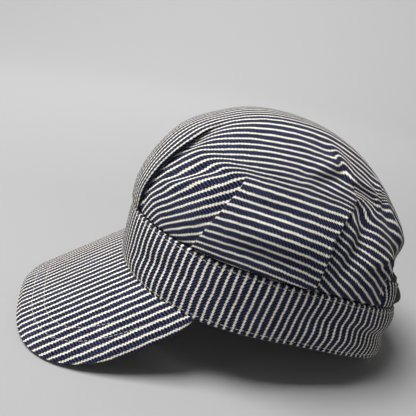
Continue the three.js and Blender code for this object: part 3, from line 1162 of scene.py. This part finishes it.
@dataclass
class Visor:
    """Stiff visor of doubled cloth that leaves the band's lower edge and droops."""

    reach: float = 59.0
    droop: float = 40.0
    flare: float = 2.4
    shoulder: float = 9.2
    power: float = 2.89
    thickness: float = 3.0
    above_edge: float = 2.6
    gap: float = 0.7
    rear_share: float = 0.12
    turn_under: float = 20.0
    crowding: float = 1.15
    row_span: float = 0.97
    row_end: float = -30.0
    row_radius: float = 0.17
    columns: int = 120
    rows: int = 30

    @property
    def slope(self) -> float:
        """Droop in radians."""
        return math.radians(self.droop)

    def outline(self, turn: Array) -> Array:
        """Plan of the outline.

        Args:
            turn: Way along it, from one corner (-1) to the other (1).

        Returns:
            Points in plan, in millimetres.
        """
        corner = FORM.band_point(FORM.visor_corner, 0.0, -self.gap)
        tip = FORM.band_point(0.0, 0.0, 0.0)[1] - self.reach
        shoulder = corner[1] - self.shoulder
        amount = np.abs(turn)
        share = np.clip((amount - (1.0 - self.rear_share)) / self.rear_share, 0.0, 1.0)
        swing = np.radians(np.clip(amount / (1.0 - self.rear_share), 0.0, 1.0) * 90.0)
        x_front = (corner[0] + self.flare) * np.sin(swing) ** (2.0 / self.power)
        y_front = mix(shoulder, tip, np.cos(swing).clip(0.0) ** (2.0 / self.power))
        x_rear = corner[0] + self.flare * np.cos(share * math.pi / 2.0)
        y_rear = mix(shoulder, corner[1], share)
        at_rear = amount > 1.0 - self.rear_share
        x = np.where(at_rear, x_rear, x_front) * np.sign(turn)
        return np.stack([x, np.where(at_rear, y_rear, y_front)], axis=-1)

    def outward(self, edge: Array) -> Array:
        """Directions in plan away from the visor.

        Args:
            edge: Points along its outline.

        Returns:
            Unit directions.
        """
        ahead = np.gradient(edge, axis=0)
        away = np.stack([ahead[:, 1], -ahead[:, 0]], axis=-1)
        return away / np.linalg.norm(away, axis=1, keepdims=True)

    def height(self, x: Array, y: Array) -> Array:
        """Height of the top cloth.

        Args:
            x: Plan positions to the side.
            y: Plan positions along the cap.

        Returns:
            Heights in millimetres.
        """
        across = np.clip(np.abs(x) / FORM.half_width, 0.0, 0.985)
        ahead = (1.0 - across**FORM.foot.front_power) ** (1.0 / FORM.foot.front_power)
        angle = np.degrees(np.arctan2(across, ahead))
        edge = -FORM.half_length * FORM.foot.front * ahead
        return FORM.edge_height(angle) + self.above_edge - (edge - y) * math.tan(self.slope)

    def across_cloth(self, x: Array) -> Array:
        """Length over the cloth from the visor's middle line, square to the stripes.

        Args:
            x: Plan positions to the side.

        Returns:
            Lengths in millimetres, below 0 on the wearer's right.
        """
        steps = np.linspace(0.0, FORM.half_width * 1.1, 500)
        tilt = np.gradient(self.height(steps, 0.0 * steps), steps)
        stretch = np.sqrt(1.0 + (tilt * math.cos(self.slope)) ** 2)
        length = np.concatenate([[0.0], np.cumsum((stretch[1:] + stretch[:-1]) / 2.0 * np.diff(steps))])
        return np.interp(np.abs(x), steps, length) * np.sign(x)

    def build(self) -> bpy.types.Object:
        """Models the visor's cloth over its stiffener.

        Returns:
            The cloth.
        """
        turn = np.linspace(-1.0, 1.0, self.columns + 1)
        eased = np.sign(turn) * (1.0 - (1.0 - np.abs(turn)) ** self.crowding)
        start = FORM.band_point(FORM.visor_corner * eased, 0.0, -self.gap)[:, :2]
        end = self.outline(eased)
        half = self.thickness / 2.0 / math.cos(self.slope)
        across = np.linspace(0.0, 1.0, self.rows + 1)
        lines = []
        lays = []
        for near, far, out in zip(start, end, self.outward(end)):
            plan = mix(near[None], far[None], across[:, None])
            x, y = plan.T
            top = self.height(x, y)
            away = np.linalg.norm(far - plan, axis=-1)
            from_edge = np.clip(away / self.thickness, 0.0, 1.0)
            round_off = half * (1.0 - np.sqrt(np.clip(1.0 - (1.0 - from_edge) ** 2, 0.0, 1.0)))
            upper = np.stack([x, y, top - round_off], axis=-1)
            lower = np.stack([x, y, top - 2.0 * half + round_off], axis=-1)
            lines.append(np.concatenate([lower, upper[::-1], lower[:1]]))
            lay = np.stack([self.across_cloth(x), y / math.cos(self.slope)], axis=-1)
            turned = (2.0 * half - round_off) * (1.0 - smooth(away / self.turn_under))
            lay_upper = lay + out * round_off[:, None]
            lay_lower = lay + out * turned[:, None]
            lays.append(np.concatenate([lay_lower, lay_upper[::-1], lay_lower[:1]]))
        return add_skin("visor_cloth", np.stack(lines), np.stack(lays))

    def stitches(self) -> list[bpy.types.Object]:
        """Sews the rows that follow the visor's outline on its top.

        Returns:
            The two rows.
        """
        sewn = []
        edge = self.outline(np.linspace(-self.row_span, self.row_span, 500))
        for name, inside in (("visor_outer_stitches", 8.0), ("visor_inner_stitches", 14.5)):
            plan = edge - self.outward(edge) * inside
            path = np.column_stack([plan, self.height(*plan.T)])[plan[:, 1] < self.row_end]
            up = np.tile([0.0, -math.sin(self.slope), math.cos(self.slope)], (len(path), 1))
            sewn.append(StitchRow(name, radius=self.row_radius).build(path, up))
        return sewn


def strip_skin(name: str, face: Face, angles: Array, thickness: float, height: float,
               lay: Callable[[Array, Array], Array], rows: int = 12) -> bpy.types.Object:
    """Models a strip that stands along the band's upper edge.

    Args:
        name: Piece name.
        face: Points of the outer face by plan angle, height share and depth inside it.
        angles: Plan angles along the strip.
        thickness: Thickness in millimetres.
        height: Height in millimetres.
        lay: Place on the flat cloth by length along the strip and height.
        rows: Rows between the lower and the upper edge.

    Returns:
        The strip.
    """
    half = thickness / 2.0
    share, depth = rolled_section(thickness, half / height, rows, 4)
    places = face(angles[:, None], share[None], depth[None])
    length = arc_lengths(face(angles, np.full(len(angles), 0.5), 0.0))
    cloth = lay(*np.broadcast_arrays(length[:, None], share[None] * height))
    core = face(angles[:, None], 0.5 + 0.0 * share[None], half + 0.0 * share[None])
    closed_places = np.concatenate([core[:1], places, core[-1:]])
    closed_cloth = np.concatenate([cloth[:1], cloth, cloth[-1:]])
    return add_skin(name, closed_places, closed_cloth, crease_deg=60.0)


@dataclass
class StrapTab:
    """Cloth tab at one end of the opening, where the strap is sewn in."""

    height: float = 18.5
    thickness: float = 1.2
    start: float = 117.5
    end: float = 134.0
    inset: float = 1.2
    opening_start: float = 121.0
    curl: float = 7.0
    seam: float = 1.6
    ease: float = 5.0
    foot_rate: float = 8.0
    foot_share: float = 0.55

    def depth(self, angle: Array, share: Array) -> Array:
        """Depth of the tab's face inside the plain dome.

        Args:
            angle: Plan angles.
            share: Height shares.

        Returns:
            Depths in millimetres.
        """
        out = smooth((np.abs(angle) - self.opening_start) / self.ease)
        under = WALL.crown + WALL.band + 2.0 * WALL.gap
        return mix(under, self.inset, out * smooth(share * self.foot_rate + self.foot_share))

    def face(self, side: float, angle: Array, share: Array, inside: Array) -> Array:
        """Points of the tab.

        Args:
            side: 1 for the wearer's left and -1 for the right.
            angle: Plan angles.
            share: Height shares.
            inside: Depths inside its outer face.

        Returns:
            Points in millimetres, coordinates last.
        """
        climb = FORM.climb_at(angle, WALL.foot_gap + self.height * share)
        return FORM.dome_point(side * angle, climb, self.depth(angle, share) + inside)

    def build(self, name: str, side: float) -> bpy.types.Object:
        """Models the tab on one side.

        Args:
            name: Piece name.
            side: 1 for the wearer's left and -1 for the right.

        Returns:
            The tab.
        """
        angles = np.linspace(self.start, self.end, 27)
        if side < 0:
            angles = angles[::-1]
        band_length = arc_lengths(FORM.band_point(np.linspace(0.0, self.start, 90), 1.0, 0.0))[-1]
        phase = BAND_LAY[1][1]

        def lay(length: Array, height: Array) -> Array:
            """Continues the band's stripes, curled towards the front at the top.

            Args:
                length: Lengths along the tab.
                height: Heights over its lower edge.

            Returns:
                Millimetres across and along the stripes, last axis 2.
            """
            along = length if side > 0 else length[::-1]
            across = band_length - phase + along + self.curl * (height / self.height) ** 2
            return np.stack([across * side, height + FORM.band_height], axis=-1)

        return strip_skin(name, partial(self.face, side), angles, self.thickness, self.height, lay)

    def stitches(self, name: str, side: float) -> bpy.types.Object:
        """Sews the upright row that holds the strap in the tab.

        Args:
            name: Piece name.
            side: 1 for the wearer's left and -1 for the right.

        Returns:
            The row.
        """
        share = np.linspace(0.06, 0.94, 60)
        path = self.face(side, np.full_like(share, self.end - self.seam), share, 0.0)
        return StitchRow(name).build(path, path * np.array([1.0, 1.0, 0.0]))


@dataclass
class BackStrap:
    """Black webbing strap across the opening, bowed out from the head."""

    height: float = 22.0
    thickness: float = 1.6
    start: float = 128.5
    bow: float = 1.5
    bow_share: float = 0.2
    foot_depth: float = 0.5
    top_depth: float = 6.1
    ease: float = 14.0
    tab: StrapTab = field(default_factory=StrapTab)

    def depth(self, angle: Array, share: Array) -> Array:
        """Depth of the strap's face inside the plain dome.

        Args:
            angle: Plan angles, from one tab (below 180) to the other.
            share: Height shares.

        Returns:
            Depths in millimetres.
        """
        tab_share = np.minimum(share * self.height / self.tab.height, 1.0)
        behind = self.tab.depth(np.full_like(angle, self.tab.end), tab_share)
        behind = behind + self.tab.thickness + 3.0 * WALL.gap
        away = np.where(angle > 180.0, 360.0 - angle, angle)
        out = smooth((away - self.tab.end) / self.ease)
        above = smooth((share - self.bow_share) / (1.0 - self.bow_share))
        below = smooth((self.bow_share - share) / self.bow_share)
        drawn = (self.top_depth + self.bow) * above + (self.foot_depth + self.bow) * below
        return mix(behind, drawn - self.bow, out)

    def face(self, angle: Array, share: Array, inside: Array) -> Array:
        """Points of the strap.

        Args:
            angle: Plan angles, from one tab (below 180) to the other.
            share: Height shares.
            inside: Depths inside its outer face.

        Returns:
            Points in millimetres, coordinates last.
        """
        angle, share, inside = np.broadcast_arrays(angle, share, inside)
        climb = FORM.climb_at(angle, WALL.foot_gap + self.height * share)
        return FORM.dome_point(angle, climb, self.depth(angle, share) + inside)

    def build(self) -> bpy.types.Object:
        """Models the strap.

        Returns:
            The strap.
        """
        angles = np.linspace(self.start, 360.0 - self.start, 121)
        return strip_skin(
            "strap_webbing", self.face, angles, self.thickness, self.height,
            lambda length, height: np.stack([length, height], axis=-1), rows=16,
        )


@dataclass
class StitchRow:
    """Row of single stitches, each one a short bowed length of thread pulled into the cloth at its ends."""

    name: str
    stitch: float = 2.5
    spacing: float = 3.1
    radius: float = 0.2
    blunt: float = 0.7
    lift: float = 0.55
    dip: float = 1.5
    half_look: float = 0.7

    def one_stitch(self) -> tuple[Array, list[tuple[int, ...]]]:
        """Models one stitch from a small sphere and removes it again.

        Returns:
            Its points, along x and with z away from the cloth, and its faces.
        """
        deselect()
        on_its_side = (0.0, math.pi / 2.0, 0.0)
        bpy.ops.mesh.primitive_uv_sphere_add(segments=6, ring_count=6, radius=1.0, rotation=on_its_side)
        ball = bpy.context.object
        bpy.ops.object.transform_apply(location=False, rotation=True, scale=False)
        points = np.array([v.co[:] for v in ball.data.vertices])
        faces = [tuple(p.vertices) for p in ball.data.polygons]
        mesh = ball.data
        bpy.data.objects.remove(ball)
        bpy.data.meshes.remove(mesh)
        x = np.sign(points[:, 0]) * np.abs(points[:, 0]) ** self.blunt
        shaped = np.column_stack([x * self.stitch / 2.0, points[:, 1:] * self.radius])
        shaped[:, 2] += self.radius * (self.lift - self.dip * x**4)
        return shaped, faces

    def build(self, path: Array, outward: Array) -> bpy.types.Object:
        """Sews the row.

        Args:
            path: Points of the row in the cap's own frame, close together.
            outward: Direction away from the cloth at each point.

        Returns:
            The stitches as one piece.
        """
        points, faces = self.one_stitch()
        length = arc_lengths(path)
        count = int(length[-1] / self.spacing)
        middles = (np.arange(count) + 0.5) * length[-1] / count

        def read(where: Array, track: Array) -> Array:
            """Reads points or directions at lengths along the row."""
            return np.stack([np.interp(where, length, part) for part in track.T], axis=-1)

        along = read(middles + self.half_look, path) - read(middles - self.half_look, path)
        along /= np.linalg.norm(along, axis=1, keepdims=True)
        up = read(middles, outward)
        up -= along * np.sum(up * along, axis=1, keepdims=True)
        up /= np.linalg.norm(up, axis=1, keepdims=True)
        turned = np.stack([along, np.cross(up, along), up], axis=1)
        placed = read(middles, path)[:, None] + points @ turned
        corners = [tuple(v + i * len(points) for v in face) for i in range(count) for face in faces]
        mesh = bpy.data.meshes.new(self.name)
        mesh.from_pydata(REST.place(placed.reshape(-1, 3)).tolist(), [], corners)
        mesh.update()
        piece = bpy.data.objects.new(self.name, mesh)
        bpy.context.scene.collection.objects.link(piece)
        work_on(piece)
        bpy.ops.object.shade_smooth()
        return piece


@dataclass
class LooseThreads:
    """Frayed ends of thread that stand out from the back of the band, at its lower edge and its seam."""

    first: float = 122.0
    last: float = 158.0
    count: int = 13
    longest: float = 6.5
    radius: float = 0.11
    curl: float = 1.8
    out_share: float = 0.6
    sway_share: float = 0.7
    root_depth: float = 0.4
    seed: int = 11

    def build(self, band: Band) -> bpy.types.Object:
        """Models the threads.

        Args:
            band: Band that they come out of.

        Returns:
            All threads as one piece.
        """
        chance = np.random.default_rng(self.seed)
        steps = np.linspace(0.0, 1.0, 5)[:, None]
        parts = []
        for angle in np.linspace(self.first, self.last, self.count):
            share = chance.uniform(0.03, 0.5)
            root = band.face(np.array([angle]), np.array([share]))[0]
            out = np.array([root[0], root[1], 0.0]) / np.hypot(root[0], root[1])
            length = self.longest * chance.uniform(0.35, 1.0)
            sideways = chance.uniform(-0.8, 0.8)
            sway = np.array([-out[1] * sideways, out[0] * sideways, chance.uniform(-1.0, 0.3)])
            curled = out * np.sin(steps * self.curl) * self.out_share + sway * steps**2 * self.sway_share
            path = root + curled * length - out * self.root_depth * (steps == 0.0)
            deselect()
            bpy.ops.curve.primitive_nurbs_path_add()
            strand = bpy.context.object
            strand.data.bevel_depth = self.radius * MM
            strand.data.bevel_resolution = 1
            strand.data.resolution_u = 3
            strand.data.use_fill_caps = True
            for point, place in zip(strand.data.splines[0].points, REST.place(path)):
                point.co = (*place, 1.0)
            bpy.ops.object.convert(target="MESH")
            parts.append(bpy.context.object)
        deselect()
        for part in parts:
            part.select_set(True)
        bpy.context.view_layer.objects.active = parts[0]
        bpy.ops.object.join()
        bpy.ops.object.mode_set(mode="EDIT")
        bpy.ops.mesh.select_all(action="SELECT")
        bpy.ops.mesh.remove_doubles(threshold=MERGE_DISTANCE)
        bpy.ops.mesh.fill_holes(sides=0)
        bpy.ops.mesh.normals_make_consistent(inside=False)
        bpy.ops.object.mode_set(mode="OBJECT")
        piece = bpy.context.object
        piece.name = "loose_threads"
        bpy.ops.object.shade_smooth()
        return piece


def surface_normals(face: Face, angle: Array, share: Array) -> Array:
    """Directions away from a face given by plan angle and height share.

    Args:
        face: Points of the face by plan angle and height share.
        angle: Plan angles.
        share: Height shares.

    Returns:
        Unit normals that point away from the head.
    """
    turn = 0.2
    rise = 0.02
    by_angle = face(angle + turn, share) - face(angle - turn, share)
    by_share = face(angle, share + rise) - face(angle, share - rise)
    normal = np.cross(by_angle, by_share)
    normal /= np.linalg.norm(normal, axis=-1, keepdims=True)
    outside = face(angle, share)
    flip = np.sign(np.sum(normal[:, :2] * outside[:, :2], axis=1, keepdims=True))
    return normal * flip


@dataclass(frozen=True)
class Finish:
    """What every finish has: its roughness, and the strength of its relief and its depth in millimetres."""

    roughness: float
    relief: float
    relief_depth: float


@dataclass(frozen=True)
class StripedTwill(Finish):
    """Hickory-striped cotton twill, yarn dyed and washed: matt, with a faint nap and steep twill lines.

    Lengths are millimetres, and a scale is features per millimetre. Two numbers on noise are gain and offset.
    """

    navy: str = "#0A0C1B"
    navy_pale: str = "#444A6D"
    cream: str = "#F7F2E4"
    cream_dark: str = "#BFB7A2"
    line_share: float = 0.265
    line_softness: float = 0.035
    twill_pitch: float = 2.0
    twill_slant: float = 0.8
    tooth: float = 1.05
    tooth_peak: float = 0.62
    wander: float = 1.2
    wander_scale: float = 0.12
    fleck_scale: float = 1.1
    fading_scale: float = 0.045
    crest: tuple[float, float] = (0.2, 0.45)
    pale_flecks: tuple[float, float] = (5.0, -1.7)
    faded: tuple[float, float] = (0.5, -0.24)
    dull_cream: tuple[float, float] = (2.2, -0.75)
    ridge_relief: float = 1.4
    relief: float = 0.5
    relief_depth: float = 0.4
    roughness: float = 0.95
    nap: float = 0.03
    nap_roughness: float = 0.45
    gloss: float = 0.12


@dataclass(frozen=True)
class Webbing(Finish):
    """Woven elastic webbing in black: matt, with fine ribs along its length."""

    colour: str = "#141415"
    rib_colour: str = "#2A2A2C"
    rib_pitch: float = 1.3
    cross_rib: float = 0.8
    rib_contrast: float = 4.0
    roughness: float = 0.82
    relief: float = 0.8
    relief_depth: float = 0.3


@dataclass(frozen=True)
class Thread(Finish):
    """Spun cotton sewing thread, undyed: soft and matt."""

    colour: str = "#DAD5C8"
    dull_colour: str = "#A9A496"
    roughness: float = 0.85
    turn_scale: float = 2.5
    relief: float = 0.4
    relief_depth: float = 0.1


def linear(code: str) -> tuple[float, float, float, float]:
    """Turns an sRGB hex colour to linear RGBA.

    Args:
        code: Colour such as "#1A2B3C".

    Returns:
        Linear red, green, blue and an alpha of 1.
    """
    parts = [int(code[i : i + 2], 16) / 255.0 for i in (1, 3, 5)]
    values = [p / 12.92 if p <= 0.04045 else ((p + 0.055) / 1.055) ** 2.4 for p in parts]
    return values[0], values[1], values[2], 1.0


NodeValue = bpy.types.Node | bpy.types.NodeSocket | float | tuple[float, ...]


def add_node(tree: bpy.types.NodeTree, kind: str, settings: dict[str, object], *values: NodeValue,
             **named: NodeValue) -> bpy.types.Node:
    """Adds a shader node with its settings and links.

    Args:
        tree: Node tree.
        kind: Node type, without the words ShaderNode before it.
        settings: Attributes of the node.
        *values: Values of its first inputs: a node, of which the first output in use is linked, a socket to
            link, or a plain value.
        **named: The same for inputs by name, with an underscore for each space.

    Returns:
        The node.
    """
    node = tree.nodes.new("ShaderNode" + kind)
    for name, value in settings.items():
        setattr(node, name, value)
    sockets = list(zip(node.inputs, values))
    sockets += [(node.inputs[name.replace("_", " ")], value) for name, value in named.items()]
    for socket, value in sockets:
        if isinstance(value, bpy.types.Node):
            value = next(output for output in value.outputs if output.enabled)
        if isinstance(value, bpy.types.NodeSocket):
            tree.links.new(value, socket)
        else:
            socket.default_value = value
    return node


def new_material(name: str) -> tuple[bpy.types.Material, bpy.types.NodeTree]:
    """Makes an empty node material.

    Args:
        name: Name of the material.

    Returns:
        The material and its node tree.
    """
    material = bpy.data.materials.new(name)
    material.use_nodes = True
    material.node_tree.nodes.clear()
    return material, material.node_tree


def close_material(tree: bpy.types.NodeTree, finish: Finish, colour: NodeValue, height: NodeValue,
                   **more: NodeValue) -> None:
    """Ends a cloth's material with its relief, shader and output.

    Args:
        tree: Node tree.
        finish: Roughness and relief.
        colour: Colour of the surface.
        height: Height of its relief.
        **more: Further inputs of the shader by name, with an underscore for each space.
    """
    bump = add_node(
        tree, "Bump", {}, Strength=finish.relief, Distance=finish.relief_depth * MM, Height=height
    )
    shader = add_node(
        tree, "BsdfPrincipled", {}, Base_Color=colour, Roughness=finish.roughness, Normal=bump, **more
    )
    add_node(tree, "OutputMaterial", {}, shader)


def striped_twill(finish: StripedTwill) -> bpy.types.Material:
    """Builds the striped cloth. Its pattern reads the piece's own lay on the flat cloth, in millimetres.

    The twill lines are 2 mm apart, about twice the real ones, so that they show. They cut the stripes' edges
    into small teeth. The eye gets a dull, dry cloth: a navy ground with pale flecks along the twill's crests
    and washed-out patches, cream lines with ragged edges, and nearly no highlight.

    Args:
        finish: Colours, pitches and relief.

    Returns:
        The material.
    """
    material, tree = new_material("hickory_striped_cotton_twill")
    eased = {"interpolation_type": "SMOOTHSTEP"}
    times_plus = {"operation": "MULTIPLY_ADD"}
    share_of = {"operation": "MULTIPLY_ADD", "use_clamp": True}
    blend = {"data_type": "RGBA"}
    lay = add_node(tree, "UVMap", {"uv_map": LAY_MAP})
    across, along, _ = add_node(tree, "SeparateXYZ", {}, lay).outputs
    drift = add_node(tree, "TexNoise", {}, Vector=lay, Scale=finish.wander_scale, Detail=2.0)
    wander = add_node(tree, "Math", times_plus, drift, finish.wander, -finish.wander / 2.0)
    slanted = add_node(tree, "Math", times_plus, across, -finish.twill_slant, along)
    twill = add_node(tree, "Math", {"operation": "DIVIDE"}, slanted, finish.twill_pitch)
    drifted = add_node(tree, "Math", {"operation": "ADD"}, twill, drift)
    saw = add_node(tree, "Math", {"operation": "FRACT"}, drifted)
    ridge = add_node(tree, "Math", {"operation": "PINGPONG"}, saw, 0.5)
    fall = add_node(tree, "MapRange", eased, saw, finish.tooth_peak, 1.0)
    soft_saw = add_node(tree, "Math", {"operation": "SUBTRACT"}, saw, fall)
    tooth = add_node(tree, "Math", times_plus, soft_saw, -finish.tooth, finish.tooth / 3.0)
    wandered = add_node(tree, "Math", {"operation": "ADD"}, across, wander)
    shifted = add_node(tree, "Math", {"operation": "ADD"}, wandered, tooth)
    pitches = add_node(tree, "Math", {"operation": "DIVIDE"}, shifted, STRIPE_PITCH)
    phase = add_node(tree, "Math", {"operation": "FRACT"}, pitches)
    centred = add_node(tree, "Math", {"operation": "SUBTRACT"}, phase, 0.5)
    off = add_node(tree, "Math", {"operation": "ABSOLUTE"}, centred)
    edge = 0.5 - finish.line_share / 2.0
    line = add_node(tree, "MapRange", eased, off, edge - finish.line_softness, edge + finish.line_softness)
    fleck = add_node(tree, "TexNoise", {}, Vector=lay, Scale=finish.fleck_scale, Detail=3.0, Roughness=0.65)
    worn = add_node(tree, "TexNoise", {}, Vector=lay, Scale=finish.fading_scale, Detail=3.0)
    speck = add_node(tree, "Math", times_plus, fleck, *finish.pale_flecks)
    crest = add_node(tree, "MapRange", eased, ridge, *finish.crest)
    pale = add_node(tree, "Math", {"operation": "MULTIPLY"}, crest, speck)
    faded = add_node(tree, "Math", share_of, worn, *finish.faded)
    share = add_node(tree, "Math", {"operation": "ADD", "use_clamp": True}, pale, faded)
    ground = add_node(tree, "Mix", blend, Factor=share, A=linear(finish.navy), B=linear(finish.navy_pale))
    shade = add_node(tree, "Math", share_of, fleck, *finish.dull_cream)
    cream = add_node(tree, "Mix", blend, Factor=shade, A=linear(finish.cream), B=linear(finish.cream_dark))
    colour = add_node(tree, "Mix", blend, Factor=line, A=ground, B=cream)
    relief = add_node(tree, "Math", times_plus, ridge, finish.ridge_relief, fleck)
    close_material(
        tree, finish, colour, relief, Sheen_Weight=finish.nap, Sheen_Roughness=finish.nap_roughness,
        Specular_IOR_Level=finish.gloss,
    )
    return material


def webbing(finish: Webbing) -> bpy.types.Material:
    """Builds the black webbing, ribbed along its length by the lay across it.

    The eye gets a flat black band with a fine grid of dark grey crowns and no shine.

    Args:
        finish: Colours and rib pitch.

    Returns:
        The material.
    """
    material, tree = new_material("black_elastic_webbing")
    lay = add_node(tree, "UVMap", {"uv_map": LAY_MAP})
    along, across, _ = add_node(tree, "SeparateXYZ", {}, lay).outputs
    waves = []
    for length, pitch in ((across, finish.rib_pitch), (along, finish.rib_pitch * finish.cross_rib)):
        count = add_node(tree, "Math", {"operation": "DIVIDE"}, length, pitch)
        waves.append(add_node(tree, "Math", {"operation": "PINGPONG"}, count, 0.5))
    crowns = add_node(tree, "Math", {"operation": "MULTIPLY"}, *waves)
    weave = add_node(tree, "Math", {"operation": "MULTIPLY"}, crowns, finish.rib_contrast)
    dark, light = linear(finish.colour), linear(finish.rib_colour)
    colour = add_node(tree, "Mix", {"data_type": "RGBA"}, Factor=weave, A=dark, B=light)
    close_material(tree, finish, colour, weave)
    return material


def thread_material(finish: Thread) -> bpy.types.Material:
    """Builds the sewing thread, with the faint turns of its spinning.

    The eye gets small off-white dashes, soft and slightly uneven, against the navy and the cream.

    Args:
        finish: Colours and the scale of the turns.

    Returns:
        The material.
    """
    material, tree = new_material("undyed_cotton_thread")
    place = add_node(tree, "TexCoord", {}).outputs["Object"]
    fuzz = add_node(tree, "TexNoise", {}, Vector=place, Scale=finish.turn_scale / MM, Detail=2.0)
    light, dull = linear(finish.colour), linear(finish.dull_colour)
    colour = add_node(tree, "Mix", {"data_type": "RGBA"}, Factor=fuzz, A=light, B=dull)
    close_material(tree, finish, colour, fuzz)
    return material


@dataclass(frozen=True)
class SoftLight:
    """Soft square light: name, place and side in metres, watts, and the point that it faces."""

    name: str
    place: Point
    size: float
    power: float
    aim: Point = (0.0, 0.0, 0.06)


@dataclass(frozen=True)
class Studio:
    """Camera, floor and soft light."""

    eye: Point = (338.52, -109.03, 217.75)
    azimuth_deg: float = 74.04
    elevation_deg: float = 20.88
    roll_deg: float = 10.99
    lens: float = 47.016
    floor_radius: float = 2.2
    wall_height: float = 2.4
    sweep: float = 1.1
    floor_colour: str = "#A0A0A0"
    world_colour: str = "#EAEAEA"
    world_strength: float = 0.11
    lights: tuple[SoftLight, ...] = (
        SoftLight("high_soft_light", (-0.1, -0.62, 1.6), 0.9, 46.5),
        SoftLight("left_soft_light", (0.3, -1.8, 1.0), 1.0, 3.0),
        SoftLight("backdrop_light", (-0.7, 0.2, 1.4), 1.0, 26.0, (-2.2, 0.6, 0.8)),
        SoftLight("right_soft_light", (1.4, 0.9, 0.8), 1.0, 0.6),
    )

    def add_camera(self) -> bpy.types.Object:
        """Adds the camera at the photograph's viewing angle.

        Returns:
            The camera.
        """
        data = bpy.data.cameras.new("camera")
        data.lens = self.lens
        data.sensor_width = 36.0
        data.clip_start = 0.01
        data.clip_end = 50.0
        camera = bpy.data.objects.new("camera", data)
        bpy.context.scene.collection.objects.link(camera)
        azimuth = math.radians(self.azimuth_deg)
        elevation = math.radians(self.elevation_deg)
        back = Vector((math.sin(azimuth), -math.cos(azimuth), math.tan(elevation))).normalized()
        right = Vector((math.cos(azimuth), math.sin(azimuth), 0.0))
        up = back.cross(right)
        roll = math.radians(self.roll_deg)
        turned_right = right * math.cos(roll) + up * math.sin(roll)
        turned_up = up * math.cos(roll) - right * math.sin(roll)
        axes = Matrix((turned_right, turned_up, back)).transposed()
        camera.matrix_world = Matrix.Translation(Vector(self.eye) * MM) @ axes.to_4x4()
        bpy.context.scene.camera = camera
        return camera

    def add_floor(self) -> bpy.types.Object:
        """Adds the plain pale floor, which sweeps up all round into a wall, so that no edge shows.

        Returns:
            The floor.
        """
        deselect()
        bpy.ops.mesh.primitive_cylinder_add(
            vertices=96, radius=self.floor_radius, depth=self.wall_height, end_fill_type="NGON",
            location=(0.0, 0.0, self.wall_height / 2.0),
        )
        floor = bpy.context.object
        near = 0.01
        floor.name = "floor"
        bpy.ops.object.transform_apply(location=True, rotation=False, scale=False)
        bpy.ops.object.mode_set(mode="EDIT")
        bpy.ops.mesh.select_all(action="DESELECT")
        shape = bmesh.from_edit_mesh(floor.data)
        for face in shape.faces:
            face.select = all(v.co.z > self.wall_height - near for v in face.verts)
        bpy.ops.mesh.delete(type="FACE")
        shape = bmesh.from_edit_mesh(floor.data)
        for edge in shape.edges:
            edge.select = all(v.co.z < near for v in edge.verts)
        bpy.ops.mesh.bevel(offset=self.sweep, segments=16, profile=0.5, affect="EDGES")
        bpy.ops.mesh.select_all(action="SELECT")
        bpy.ops.mesh.flip_normals()
        bpy.ops.object.mode_set(mode="OBJECT")
        bpy.ops.object.shade_smooth()
        # Unglazed paper: a soft even grey that takes the cap's shadow and throws no highlight.
        material, tree = new_material("matt_paper_floor")
        shader = add_node(tree, "BsdfPrincipled", {}, Base_Color=linear(self.floor_colour), Roughness=0.95)
        add_node(tree, "OutputMaterial", {}, shader)
        floor.data.materials.append(material)
        return floor

    def add_light(self, soft: SoftLight) -> bpy.types.Object:
        """Adds a soft square light.

        Args:
            soft: What the light is and where.

        Returns:
            The light.
        """
        data = bpy.data.lights.new(soft.name, "AREA")
        data.size = soft.size
        data.energy = soft.power
        light = bpy.data.objects.new(soft.name, data)
        bpy.context.scene.collection.objects.link(light)
        light.location = soft.place
        light.rotation_euler = (Vector(soft.aim) - Vector(soft.place)).to_track_quat("-Z", "Y").to_euler()
        return light

    def build(self) -> None:
        """Adds the camera, the floor and the lights."""
        self.add_camera()
        self.add_floor()
        for soft in self.lights:
            self.add_light(soft)
        world = bpy.data.worlds.new("pale_studio")
        bpy.context.scene.world = world
        world.use_nodes = True
        background = world.node_tree.nodes["Background"]
        background.inputs["Color"].default_value = linear(self.world_colour)
        background.inputs["Strength"].default_value = self.world_strength
        bpy.context.scene.view_settings.view_transform = "Standard"


def dress(piece: bpy.types.Object, nodes: Sequence[str], material: bpy.types.Material) -> None:
    """Gives a piece its body, the CAD nodes it stands for and its material.

    Args:
        piece: The piece.
        nodes: CAD nodes that it replaces.
        material: Its material.
    """
    piece.data.materials.clear()
    piece.data.materials.append(material)
    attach(piece, CAP_BODY)
    if nodes:
        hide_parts(*nodes)
    log.info("%s: %d faces", piece.name, len(piece.data.polygons))


def main() -> None:
    """Builds the cap around the frame."""
    logging.basicConfig(level=logging.INFO, format="%(name)s %(message)s")
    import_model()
    cloth = striped_twill(StripedTwill())
    elastic = webbing(Webbing())
    thread = thread_material(Thread())
    crown = Crown()
    band = Band()
    visor = Visor()
    tab = StrapTab()
    dress(crown.build(), ["crown"], cloth)
    dress(band.build(), ["band"], cloth)
    dress(visor.build(), ["visor"], cloth)
    dress(tab.build("left_tab_cloth", 1.0), ["left_strap_tab"], cloth)
    dress(tab.build("right_tab_cloth", -1.0), ["right_strap_tab"], cloth)
    dress(BackStrap().build(), ["back_strap"], elastic)
    rows = band.stitches() + visor.stitches() + [crown.stitches()]
    rows += [tab.stitches("left_tab_stitches", 1.0), tab.stitches("right_tab_stitches", -1.0)]
    for piece in rows + [LooseThreads().build(band)]:
        dress(piece, [], thread)
    Studio().build()


if __name__ == "__main__":
    main()
